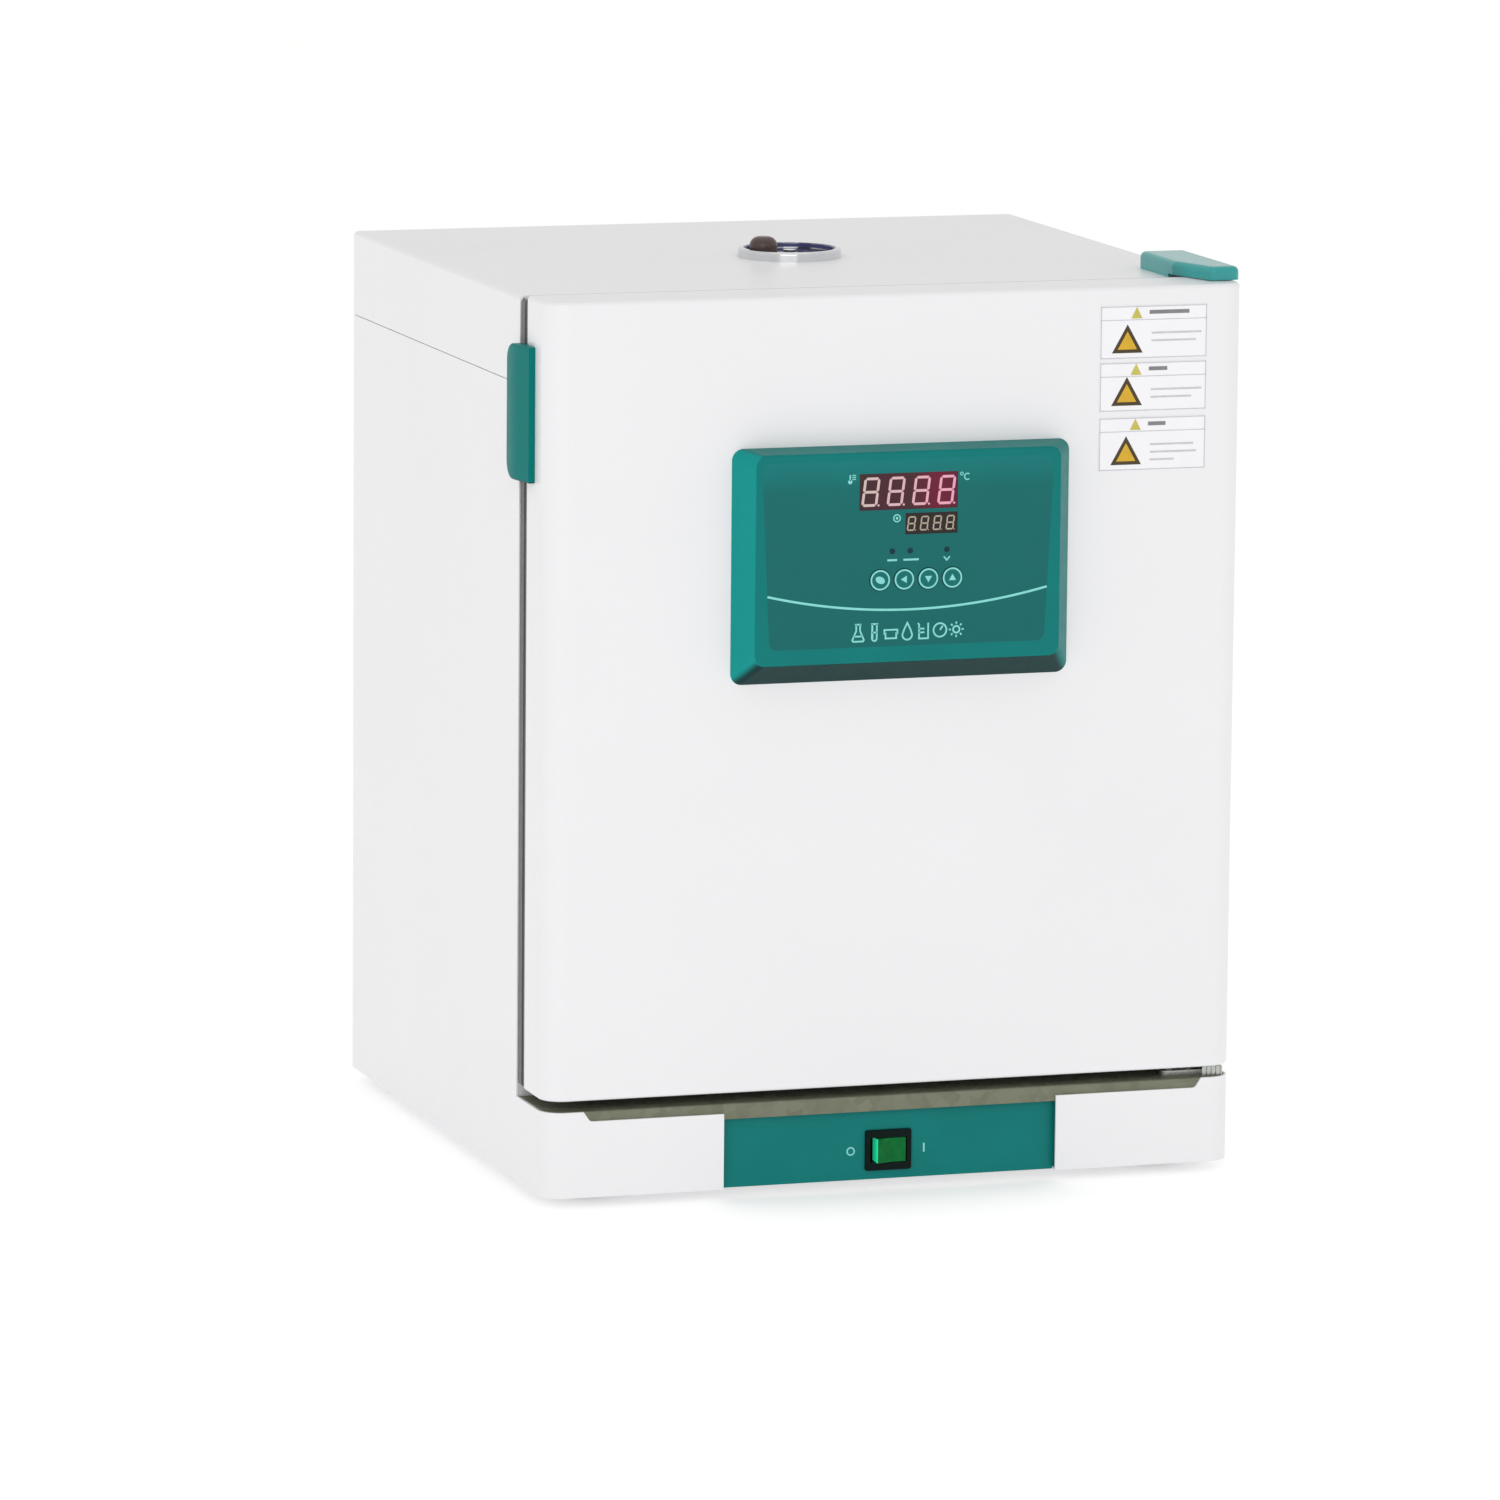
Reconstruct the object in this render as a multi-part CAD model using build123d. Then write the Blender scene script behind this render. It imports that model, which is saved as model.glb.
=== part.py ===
from build123d import *
import math
import os

# Bench-top laboratory incubator, in millimetres.
# Frame: the door faces -Y, +Z is up, the feet stand on Z = 0, and the origin is the middle of the
# footprint. The door hinges on its right (+X) edge.

os.makedirs("parts", exist_ok=True)

# ---- Cabinet ---------------------------------------------------------------------------------
CASE_W = 370.0  # cabinet width
CASE_H = 452.4  # cabinet height, without its feet
CASE_D = 357.8  # from the door's face to the rear panel
FOOT_H = 6.0
FOOT_R = 11.0
SHEET = 1.2  # painted steel sheet
CORNER_R = 12.0  # upright front corners of the door and the plinth
FOLD_R = 2.5  # folded edges of the top cover
PLINTH_H = 44.0
COVER_H = 44.5  # side flange of the top cover
SEAM = 0.4  # gap between the top cover and the sides
FLANGE = 14.0  # inward flanges that the rear panel screws to
FIT = 0.2  # clearance between sheets that slide together

# ---- Door ------------------------------------------------------------------------------------
DOOR_T = 35.0
SEAL_T = 13.6  # from the door's back to the cabinet's front
DOOR_GAP = 5.5  # under the door
DOOR_RISE = 1.5  # door's top edge above the cabinet's top
DOOR_EDGE_R = 2.0
PAN_EDGE = 42.0  # rim of the inner panel around its sunken pan
PAN_DEPTH = 4.0
SEAL_W = 9.5
SEAL_INSET = 0.6
HINGE_INSET = 7.5  # hinge axis from the door's right edge
HINGE_BACK = 22.0  # hinge axis behind the door's face
PIN_R = 2.5
BUSH_R = 5.0
BUSH_L = 16.0
RUN = 0.05  # radial running clearance of pins
APART = 0.4  # clearance between parts that move past each other

# ---- Chamber ---------------------------------------------------------------------------------
SIDE_WALL = 60.0  # cabinet's side to the chamber
LOWER_WALL = 56.0  # plinth's top to the chamber's floor
UPPER_WALL = 72.4  # chamber's ceiling to the cabinet's top
REAR_WALL_T = 64.2  # chamber's back to the rear panel's outside
LINER_T = 0.8
LIP = 9.0  # liner's flange around its mouth
FLOOR_H = 18.0  # slotted floor above the chamber floor
SHELF_GAP = 27.0  # in front of a shelf that is pushed home
SHELF_HEIGHTS = (100.0, 190.0)  # above the chamber floor
SPARE_HEIGHT = 145.0  # rail with no shelf on it
RAIL_W = 9.0
WIRE_R = 1.4
FRAME_R = 2.2
HEATER_R = 3.25
PROBE_R = 2.0

# ---- Inner glass door ------------------------------------------------------------------------
GLASS_T = 5.0
GLASS_LAP = 10.0  # glass over the rim of the mouth
GLASS_GAP = 1.6  # glass to the cabinet's front
GLASS_PIN_R = 1.5
GLASS_PIN_IN = 3.0  # pivot from the glass's edge
CLAMP_H = 14.0
CLAMP_CAP = 3.0

# ---- Control panel ---------------------------------------------------------------------------
PANEL_X = 1.0
PANEL_W = 179.2
PANEL_H = 119.6
PANEL_DROP = 74.4  # panel's upper edge below the cabinet's top
PANEL_PROUD = 12.0
PANEL_R = 6.0
PANEL_SIDE = 8.6  # width of the side slopes
PANEL_FOOT = 10.6  # width of the lower slope
PANEL_HEAD = 2.4  # width of the upper slope
PANEL_WALL = 2.4
FILM_T = 0.4
FILM_TOP_W = 155.0
FILM_LOW_W = 146.0
FILM_TOP_IN = 4.0  # film's top edge below the face's top
FILM_LOW_IN = 8.0  # film's lower edge above the face's foot
KEY_R = 5.2
KEY_PITCH = 12.8
KEY_UP = 52.4  # keys above the panel's lower edge
KEY_X = 5.4  # middle of the row
KEY_TRAVEL = 0.4
LAMP_R = 1.4
LAMP_UP = 66.8  # lamps above the panel's lower edge
LAMP_XS = (-7.4, 2.1, 21.6)
BOARD_T = 1.6
MAIN_W = 52.2  # windows of the two displays
MAIN_H = 18.5
MAIN_UP = 87.9  # above the panel's lower edge
SET_W = 27.7
SET_H = 10.8
SET_UP = 75.1

# ---- Switch, vent and fittings ---------------------------------------------------------------
SWITCH_PANEL_W = 178.3
SWITCH_X = -0.65
SWITCH_Z = 15.0
SWITCH_W = 24.7
SWITCH_H = 21.0
ROCKER_W = 17.0
ROCKER_H = 12.4
ROCKER_TILT = 9.0
LEDGE_END = 18.5  # ledge's ends from the cabinet's sides
LEDGE_X = 1.8
LEDGE_DEPTH = 5.0  # ledge notch in the plinth's front
LEDGE_SLANT = 4.0
VENT_X = 2.0
VENT_BACK = 186.0  # vent's centre behind the door's face
VENT_R = 27.0
VENT_H = 4.7
VENT_WALL = 3.0
TUBE_R = 17.0
PORT_R = 15.0
KNOB_R = 7.3
KNOB_OFF = 14.3
KNOB_H = 8.8
GRIP_H = 68.5
GRIP_DROP = 22.9  # grip's top below the cabinet's top
GRIP_LAP = 13.5  # grip's front edge ahead of the door's back
GRIP_D = 28.5
GRIP_PROUD = 6.6
GRIP_THIN = 3.2
GRIP_R = 9.0
COVER_RISE = 8.8  # hinge cover above the cabinet's top
COVER_OUT = 1.8  # hinge cover beyond the cabinet's side
COVER_WALL = 1.4
COVER_ROUND = 4.0  # radius of its upright corners
COVER_FRONT = 13.0  # tongue's front behind the door's face
COVER_TIP = 14.0  # tongue's left corner from the cabinet's side
COVER_W = 24.0
COVER_BACK = 45.0  # cover's back behind the cabinet's front
BRACKET_T = 2.4
LABEL_W = 57.5
LABEL_T = 0.3
LABEL_IN = 49.8  # labels' middle from the door's right edge
LABEL_ROWS = ((35.1, 27.0), (61.9, 25.0), (92.1, 27.1))  # lower edge below the top, and height
INLET_W = 27.0
INLET_H = 20.0
INLET_D = 24.0
INLET_PROUD = 2.0

# ---- Planes and levels that follow from the sizes above ---------------------------------------
DEPTH = PANEL_PROUD + CASE_D + INLET_PROUD
FACE = PANEL_PROUD - DEPTH / 2  # door's face
BACK = FACE + CASE_D  # rear panel's outside
DOOR_BACK = FACE + DOOR_T
FRONT = DOOR_BACK + SEAL_T  # cabinet's front
SIDE = CASE_W / 2
BASE = FOOT_H
DECK = BASE + PLINTH_H
TOP = BASE + CASE_H
SEAM_Z = TOP - COVER_H
DOOR_LOW = DECK + DOOR_GAP
DOOR_TOP = TOP + DOOR_RISE
HINGE_X = SIDE - HINGE_INSET
HINGE_Y = FACE + HINGE_BACK
FLOOR = DECK + LOWER_WALL
CEILING = TOP - UPPER_WALL
WALL_X = SIDE - SIDE_WALL
REAR_WALL = BACK - REAR_WALL_T
GLASS_BACK = FRONT - GLASS_GAP
GLASS_Y = GLASS_BACK - GLASS_T / 2
GLASS_X = WALL_X + GLASS_LAP - GLASS_PIN_IN  # pivot of the glass door
GLASS_LOW = FLOOR - GLASS_LAP
GLASS_TOP = CEILING + GLASS_LAP
PANEL_TOP = TOP - PANEL_DROP
PANEL_LOW = PANEL_TOP - PANEL_H
KEY_Z = PANEL_LOW + KEY_UP
LAMP_Z = PANEL_LOW + LAMP_UP
GRIP_TOP = TOP - GRIP_DROP
GRIP_LOW = GRIP_TOP - GRIP_H
PANEL_FACE = FACE - PANEL_PROUD
BOARD_Y = FACE - 3.6  # front of the circuit board
VENT_Y = FACE + VENT_BACK
INNER = SIDE - SHEET


# ---- Helpers ---------------------------------------------------------------------------------
def block(x0, x1, y0, y1, z0, z1):
    """A box between its limits."""
    return Pos((x0 + x1) / 2, (y0 + y1) / 2, (z0 + z1) / 2) * Box(x1 - x0, y1 - y0, z1 - z0)


def post(x, y, z0, z1, radius):
    """An upright cylinder."""
    return Pos(x, y, (z0 + z1) / 2) * Cylinder(radius, z1 - z0)


def rod(x, z, y0, y1, radius):
    """A cylinder along Y."""
    return Pos(x, (y0 + y1) / 2, z) * Rot(90, 0, 0) * Cylinder(radius, y1 - y0)


def bar(y, z, x0, x1, radius):
    """A cylinder along X."""
    return Pos((x0 + x1) / 2, y, z) * Rot(0, 90, 0) * Cylinder(radius, x1 - x0)


def upright(outline, z0, z1):
    """A plan outline of points, or a sketch, raised from z0 to z1."""
    shape = outline if isinstance(outline, Sketch) else make_face(Polyline(*outline, close=True))
    return extrude(Pos(0, 0, z0) * shape, z1 - z0)


def rect(x0, x1, z0, z1, radius=0):
    """A rectangle drawn in X and Z, with round corners if a radius is given."""
    place = Pos((x0 + x1) / 2, (z0 + z1) / 2)
    if radius:
        return place * RectangleRounded(x1 - x0, z1 - z0, radius)
    return place * Rectangle(x1 - x0, z1 - z0)


def facing(y):
    """The plane at y that looks towards the door's side, -Y, with X right and Z up."""
    return Plane((0, y, 0), x_dir=(1, 0, 0), z_dir=(0, -1, 0))


def panel(sketch, y0, y1):
    """A sketch in X and Z that fills y0 to y1."""
    return extrude(facing(y0) * sketch, -(y1 - y0))


def plan(inset, y0, y1, radius):
    """Plan of the plinth or the door: upright front corners rounded, rear ones square."""
    half = SIDE - inset
    sketch = Pos(0, (y0 + y1) / 2) * Rectangle(2 * half, y1 - y0)
    return fillet(sketch.vertices().sort_by(Axis.Y)[:2], radius)


def screw(plane, head_r, head_h, shank_r, length):
    """A pan-head screw: its head stands on the plane, its shank goes down from it."""
    head = Pos(0, 0, head_h / 2) * Cylinder(head_r, head_h)
    shank = Pos(0, 0, -length / 2) * Cylinder(shank_r, length)
    slot = Pos(0, 0, head_h) * Box(2 * head_r, head_r / 4, head_h * 0.8)
    return plane * (head + shank - slot)


def group(shapes):
    """Separate solids kept in one node."""
    return Compound(children=[s for shape in shapes for s in shape.solids()])


NODES = {}


def keep(name, shape):
    NODES[name] = shape
    return shape


# ---- Outer casing: bottom, both sides and the plinth's front, folded from one sheet -----------
SCREW_R = 1.75
HEAD_R = 3.3
HEAD_H = 1.9
FOOT_XS = (-(SIDE - 32), SIDE - 32)
FOOT_YS = (FACE + 38, BACK - 32)
FEET = [(x, y) for x in FOOT_XS for y in FOOT_YS]
SWITCH_PANEL = (SWITCH_X - SWITCH_PANEL_W / 2, SWITCH_X + SWITCH_PANEL_W / 2)
SWITCH_FACE = FACE + 4.5  # the switch panel is set back behind the plinth's front
SWITCH_BACK = SWITCH_FACE + 2.0


def ledge_outline(top, low, widen=0.0):
    """The ledge's slanted ends: wider at the top than below."""
    half_top = SIDE - LEDGE_END + widen
    half_low = half_top - LEDGE_SLANT
    corners = [(LEDGE_X - half_low, low), (LEDGE_X + half_low, low)]
    corners += [(LEDGE_X + half_top, top), (LEDGE_X - half_top, top)]
    outline = make_face(Polyline(*corners, close=True))
    return fillet(outline.vertices().sort_by(Axis.Y)[:2], 3)


def outer_casing():
    outside = upright(plan(0, FACE, BACK, CORNER_R), BASE, DECK)
    outside += block(-SIDE, SIDE, FRONT, BACK, BASE, SEAM_Z - SEAM)
    inside = upright(plan(SHEET, FACE + SHEET, BACK + 1, CORNER_R - SHEET), BASE + SHEET, DECK + 1)
    inside += block(-INNER, INNER, FRONT - 1, BACK + 1, BASE + SHEET, SEAM_Z)
    shell = outside - inside
    edge = BACK - SHEET
    for end in (-1, 1):
        x0, x1 = sorted((end * (INNER - FLANGE), end * INNER))
        shell += block(x0, x1, edge - SHEET, edge, BASE + SHEET, SEAM_Z - SEAM)
    shell += block(-INNER, INNER, edge - SHEET, edge, BASE + SHEET, BASE + SHEET + FLANGE / 2)
    shell -= block(*SWITCH_PANEL, FACE - 1, FACE + SHEET + 1, BASE - 1, DECK + 1)
    shell -= block(*SWITCH_PANEL, FACE - 1, SWITCH_BACK + FIT, BASE - 1, BASE + SHEET + 1)
    shell -= panel(ledge_outline(DECK + 1, DECK - LEDGE_DEPTH), FACE - 1, FACE + SHEET + 1)
    for x, y in FEET:
        shell -= post(x, y, BASE - 1, BASE + SHEET + 1, SCREW_R + 0.15)
    for row in range(8):
        y = FACE + 110 + row * 14
        shell -= block(-70, 70, y, y + 4, BASE - 1, BASE + SHEET + 1)
    for x, z in rear_screw_places():
        shell -= rod(x, z, edge - SHEET - 1, edge + 1, SCREW_R + 0.1)
    return shell


def rear_screw_places():
    """Six screws up the two rear flanges."""
    low = BASE + 30
    high = SEAM_Z - 30
    return [(x, z) for x in (-(INNER - 7), INNER - 7) for z in (low, (low + high) / 2, high)]


keep("outer_casing", outer_casing())


# ---- Top cover ---------------------------------------------------------------------------------
def folded_box(inset, low):
    """The cover's outside or inside, with the side and rear top edges rounded."""
    grow = 0 if inset == 0 else 1
    solid = block(-SIDE + inset, SIDE - inset, FRONT - grow, BACK - inset, low, TOP - inset)
    upper = solid.edges().group_by(Axis.Z)[-1]
    sides = upper.filter_by(Axis.Y)
    rear = upper.filter_by(Axis.X).sort_by(Axis.Y)[-1]
    return fillet(sides + [rear], FOLD_R - inset)


def top_cover():
    shell = folded_box(0, SEAM_Z) - folded_box(SHEET, SEAM_Z - 1)
    shell -= post(VENT_X, VENT_Y, TOP - SHEET - 1, TOP + 1, TUBE_R + FIT)
    for x, y in bracket_screws():
        shell -= post(x, y, TOP - SHEET - 1, TOP + 1, SCREW_R + 0.1)
    return shell


def bracket_screws():
    """Two screws through the upper bracket into the cabinet's top."""
    return [(SIDE - 18, FRONT + 24), (SIDE - 7, FRONT + 24)]


keep("top_cover", top_cover())

# ---- Rear panel --------------------------------------------------------------------------------
INLET_X = INNER - 73.8
INLET_Z = BASE + 22.0
INLET_PITCH = 40.0
PANEL_EDGE = INNER - FIT


def rear_panel():
    sheet = block(-PANEL_EDGE, PANEL_EDGE, BACK - SHEET, BACK, BASE + SHEET + FIT, SEAM_Z - SEAM)
    half_w = INLET_W / 2 + FIT
    half_h = INLET_H / 2 + FIT
    window = rect(INLET_X - half_w, INLET_X + half_w, INLET_Z - half_h, INLET_Z + half_h)
    sheet -= panel(window, BACK - SHEET - 1, BACK + 1)
    for end in (-1, 1):
        x = INLET_X + end * INLET_PITCH / 2
        sheet -= rod(x, INLET_Z, BACK - SHEET - 1, BACK + 1, SCREW_R + 0.1)
    for column in range(9):
        x = -120 + column * 16
        slot = rect(x, x + 4, BASE + 12, BASE + 36, 1.9)
        sheet -= panel(slot, BACK - SHEET - 1, BACK + 1)
    for x, z in rear_screw_places():
        sheet -= rod(x, z, BACK - SHEET - 1, BACK + 1, SCREW_R + 0.1)
    return sheet


keep("rear_panel", rear_panel())

# ---- Deck over the plinth: its turned-down front edge is the grey ledge -------------------------
LOWER_BRACKET_SCREWS = [(SIDE - 28, HINGE_Y - 2), (SIDE - 28, HINGE_Y + 12)]


def deck_plate():
    y0 = FACE + SHEET
    plate = upright(plan(SHEET + FIT, y0, BACK - 2 * SHEET - FIT, CORNER_R), DECK - SHEET, DECK)
    plate += panel(ledge_outline(DECK, DECK - LEDGE_DEPTH - 3, 4), y0, y0 + SHEET)
    front = plate.edges().filter_by(Axis.X).group_by(Axis.Y)[0].sort_by(Axis.Z)[-1]
    plate = fillet(front, 0.8)
    for x, y in LOWER_BRACKET_SCREWS:
        plate -= post(x, y, DECK - SHEET - 1, DECK + 1, SCREW_R + 0.1)
    return plate


keep("deck_plate", deck_plate())


# ---- Front frame: the cabinet's front, around the chamber's mouth ------------------------------
PIVOT_SCREWS = [(GLASS_X + 8, GLASS_LOW - 12), (GLASS_X + 8, GLASS_TOP + 12)]


def front_frame():
    face = rect(-INNER + FIT, INNER - FIT, DECK, TOP - SHEET)
    face = fillet(face.vertices().sort_by(Axis.Y)[-2:], FOLD_R)
    mouth = rect(-WALL_X - LINER_T, WALL_X + LINER_T, FLOOR - LINER_T, CEILING + LINER_T)
    sheet = panel(face - mouth, FRONT, FRONT + SHEET)
    for x, z in PIVOT_SCREWS:
        sheet -= rod(x, z, FRONT - 1, FRONT + SHEET + 1, SCREW_R + 0.1)
    return sheet


keep("front_frame", front_frame())

# ---- Chamber liner -----------------------------------------------------------------------------
HEATER_XS = (-85.0, 85.0)
HEATER_Z = FLOOR + FLOOR_H / 2
PROBES = ((60.0, CEILING - 32), (76.0, CEILING - 32))
PROBE_IN = 55.0  # probe's reach into the chamber
STUB = 14.0  # tails of heater and probes behind the liner


def chamber_liner():
    t = LINER_T
    shell = block(-WALL_X - t, WALL_X + t, FRONT, REAR_WALL + t, FLOOR - t, CEILING + t)
    shell += block(
        -WALL_X - LIP, WALL_X + LIP, FRONT + SHEET, FRONT + SHEET + t, FLOOR - LIP, CEILING + LIP
    )
    shell -= block(-WALL_X, WALL_X, FRONT - 1, REAR_WALL, FLOOR, CEILING)
    shell -= post(VENT_X, VENT_Y, CEILING - 1, CEILING + t + 1, TUBE_R + FIT)
    for x in HEATER_XS:
        shell -= rod(x, HEATER_Z, REAR_WALL - 1, REAR_WALL + t + 1, HEATER_R + FIT)
    for x, z in PROBES:
        shell -= rod(x, z, REAR_WALL - 1, REAR_WALL + t + 1, PROBE_R + FIT)
    return shell


keep("chamber_liner", chamber_liner())

# ---- Insulation --------------------------------------------------------------------------------
PACK = 0.5  # slack around the insulation
LAG_FRONT = FRONT + SHEET + LINER_T + PACK
LAG_BACK = BACK - 2 * SHEET - PACK
BOX_X = WALL_X + LINER_T + PACK
BOX_LOW = FLOOR - LINER_T - PACK
BOX_TOP = CEILING + LINER_T + PACK
BOX_BACK = REAR_WALL + LINER_T + PACK
LAG_X = INNER - FIT - PACK


def insulation_rear():
    slab = block(-LAG_X + FLANGE, LAG_X - FLANGE, BOX_BACK, LAG_BACK, BOX_LOW, BOX_TOP)
    for x in HEATER_XS:
        slab -= rod(x, HEATER_Z, BOX_BACK - 1, BOX_BACK + STUB, HEATER_R + FIT)
    for x, z in PROBES:
        slab -= rod(x, z, BOX_BACK - 1, BOX_BACK + STUB, PROBE_R + FIT)
    return slab


def insulation_top():
    slab = block(-LAG_X, LAG_X, LAG_FRONT, LAG_BACK - FLANGE, BOX_TOP + PACK, TOP - SHEET - 8)
    return slab - post(VENT_X, VENT_Y, BOX_TOP, TOP, TUBE_R + FIT)


keep(
    "insulation_sides",
    group(
        block(*sorted((end * BOX_X, end * LAG_X)), LAG_FRONT, BOX_BACK - PACK, BOX_LOW, BOX_TOP)
        for end in (-1, 1)
    ),
)
keep("insulation_top", insulation_top())
keep("insulation_bottom", block(-LAG_X, LAG_X, LAG_FRONT, LAG_BACK, DECK + PACK, BOX_LOW - PACK))
keep("insulation_rear", insulation_rear())

# ---- Chamber fittings --------------------------------------------------------------------------
SHELF_BACK = REAR_WALL - 6
SHELF_FRONT = FRONT + SHELF_GAP
SHELF_D = SHELF_BACK - SHELF_FRONT
RAIL_T = 1.2
REST = 0.3  # between a shelf's rods and its rails
SHELF_X = WALL_X - 3.0


def shelf_rail(end, height):
    """An angle on the side wall: the shelf's side rods lie on its ledge."""
    z = FLOOR + height
    wall = sorted((end * WALL_X, end * (WALL_X - RAIL_T)))
    ledge = sorted((end * WALL_X, end * (WALL_X - RAIL_W)))
    y0 = SHELF_FRONT - 4
    y1 = REAR_WALL - 4
    return block(*wall, y0, y1, z - 12, z) + block(*ledge, y0, y1, z - RAIL_T, z)


def wire_shelf(height):
    """A welded shelf: a round-cornered frame rod with wires across it."""
    z = FLOOR + height + FRAME_R + REST
    middle = (SHELF_FRONT + SHELF_BACK) / 2
    half_x = SHELF_X - FRAME_R
    half_y = SHELF_D / 2 - FRAME_R
    corner = 8.0
    path = Pos(0, middle, z) * RectangleRounded(2 * half_x, 2 * half_y, corner).wire()
    start = Plane((0, middle - half_y, z), x_dir=(0, 1, 0), z_dir=(1, 0, 0))
    shelf = sweep(start * Circle(FRAME_R), path)
    lift = z + FRAME_R + WIRE_R - 0.8
    count = 13
    pitch = 2 * (half_x - 12) / (count - 1)
    for number in range(count):
        x = -(half_x - 12) + number * pitch
        shelf += rod(x, lift, middle - half_y - FRAME_R + 0.6, middle + half_y + FRAME_R - 0.6, WIRE_R)
    for y in (middle - half_y / 3, middle + half_y / 3):
        shelf += bar(y, z, -half_x, half_x, FRAME_R - 0.2)
    return shelf


def slotted_floor():
    z = FLOOR + FLOOR_H
    half = WALL_X - 4
    y0 = FRONT + 8
    y1 = REAR_WALL - 5
    plate = block(-half, half, y0, y1, z - 1, z)
    for end in (-1, 1):
        plate += block(*sorted((end * half, end * (half - 1))), y0, y1, FLOOR, z)
    columns = 6
    rows = 12
    for column in range(columns):
        for row in range(rows):
            x = (column - (columns - 1) / 2) * 38
            y = (y0 + y1) / 2 + (row - (rows - 1) / 2) * 18
            plate -= Pos(x, y, z) * Box(26, 5, 4)
    return plate


def heating_element():
    """A tube in four runs, whose ends go out through the rear wall."""
    front = FRONT + 40
    rear = REAR_WALL - 30
    end = REAR_WALL + LINER_T + STUB - 2
    left, right = HEATER_XS
    step = (right - left) / 3
    points = [
        (left, end), (left, front), (left + step, front), (left + step, rear),
        (right - step, rear), (right - step, front), (right, front), (right, end),
    ]  # fmt: skip
    path = FilletPolyline(*[(x, y, HEATER_Z) for x, y in points], radius=18)
    start = Plane((left, end, HEATER_Z), x_dir=(1, 0, 0), z_dir=(0, -1, 0))
    return sweep(start * Circle(HEATER_R), path)


keep("shelf_rails", group(shelf_rail(e, h) for e in (-1, 1) for h in (*SHELF_HEIGHTS, SPARE_HEIGHT)))
keep("lower_shelf", wire_shelf(SHELF_HEIGHTS[0]))
keep("upper_shelf", wire_shelf(SHELF_HEIGHTS[1]))
keep("slotted_floor", slotted_floor())
keep("heating_element", heating_element())
PROBE_END = REAR_WALL + LINER_T + STUB - 2
keep(
    "temperature_probes",
    group(rod(x, z, REAR_WALL - PROBE_IN, PROBE_END, PROBE_R) for x, z in PROBES),
)

# ---- Plinth: feet and electrics ----------------------------------------------------------------
BAY = BASE + SHEET  # floor of the electrics bay


def foot(x, y):
    """A rubber foot with a counterbore for its screw."""
    pad = post(x, y, 0, BASE, FOOT_R)
    pad = fillet(pad.edges().group_by(Axis.Z)[0], 1.5)
    return pad - post(x, y, -1, 3, 4.5) - post(x, y, -1, BASE + 1, SCREW_R + 0.15)


def transformer():
    core = block(-118, -66, BACK - 96, BACK - 52, BAY, BAY + 38)
    window = block(-108, -76, BACK - 100, BACK - 48, BAY + 8, BAY + 30)
    coil = block(-107.5, -76.5, BACK - 104, BACK - 44, BAY + 8.5, BAY + 29.5)
    coil = fillet(coil.edges().filter_by(Axis.Z), 4)
    return core - window + coil + block(-126, -58, BACK - 84, BACK - 64, BAY, BAY + 1.5)


def relay():
    body = block(-20, 25, BACK - 120, BACK - 62, BAY + 4, BAY + 26)
    body = fillet(body.edges().filter_by(Axis.Z), 3)
    plate = block(-28, 33, BACK - 122, BACK - 60, BAY, BAY + 4)
    for x in (-12, 17):
        for y in (BACK - 114, BACK - 68):
            body += post(x, y, BAY + 26, BAY + 28, 3.4)
    return plate + body


def terminal_block():
    ways = 5
    pitch = 11.0
    x0 = 58.0
    body = block(x0, x0 + ways * pitch, BACK - 110, BACK - 92, BAY, BAY + 16)
    for way in range(ways):
        x = x0 + (way + 0.5) * pitch
        body -= post(x, BACK - 105, BAY + 9, BAY + 17, 2.6)
        body -= post(x, BACK - 97, BAY + 9, BAY + 17, 2.6)
    return body


def safety_thermostat():
    x = INNER - 44
    y = BACK - 150
    body = post(x, y, BAY, BAY + 14, 12) + post(x, y, BAY + 14, BAY + 22, 4)
    return body + block(x - 3, x + 3, y - 18, y - 4, BAY + 3, BAY + 4.2)


def power_inlet():
    """An appliance inlet with a fuse drawer: a hollow socket behind a flange."""
    half_w = INLET_W / 2
    half_h = INLET_H / 2
    wing = INLET_PITCH / 2 + 5
    flange = rect(INLET_X - wing, INLET_X + wing, INLET_Z - 12, INLET_Z + 12, 3)
    shape = panel(flange, BACK, BACK + INLET_PROUD)
    box = rect(INLET_X - half_w, INLET_X + half_w, INLET_Z - half_h, INLET_Z + half_h, 1)
    shape += panel(box, BACK - INLET_D, BACK)
    socket = rect(INLET_X - 12, INLET_X + 12, INLET_Z - 8.2, INLET_Z + 8.2, 3)
    shape -= panel(socket, BACK - 18, BACK + INLET_PROUD + 1)
    for offset, lift in ((-7, -1.5), (0, 2.5), (7, -1.5)):
        x = INLET_X + offset
        z = INLET_Z + lift
        shape += block(x - 1, x + 1, BACK - 19, BACK - 2, z - 2, z + 2)
        shape += block(x - 2, x + 2, BACK - INLET_D - 8, BACK - INLET_D, z - 0.4, z + 0.4)
    for end in (-1, 1):
        hole = INLET_X + end * INLET_PITCH / 2
        shape -= rod(hole, INLET_Z, BACK - 1, BACK + INLET_PROUD + 1, HEAD_R + FIT)
    return shape


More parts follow.
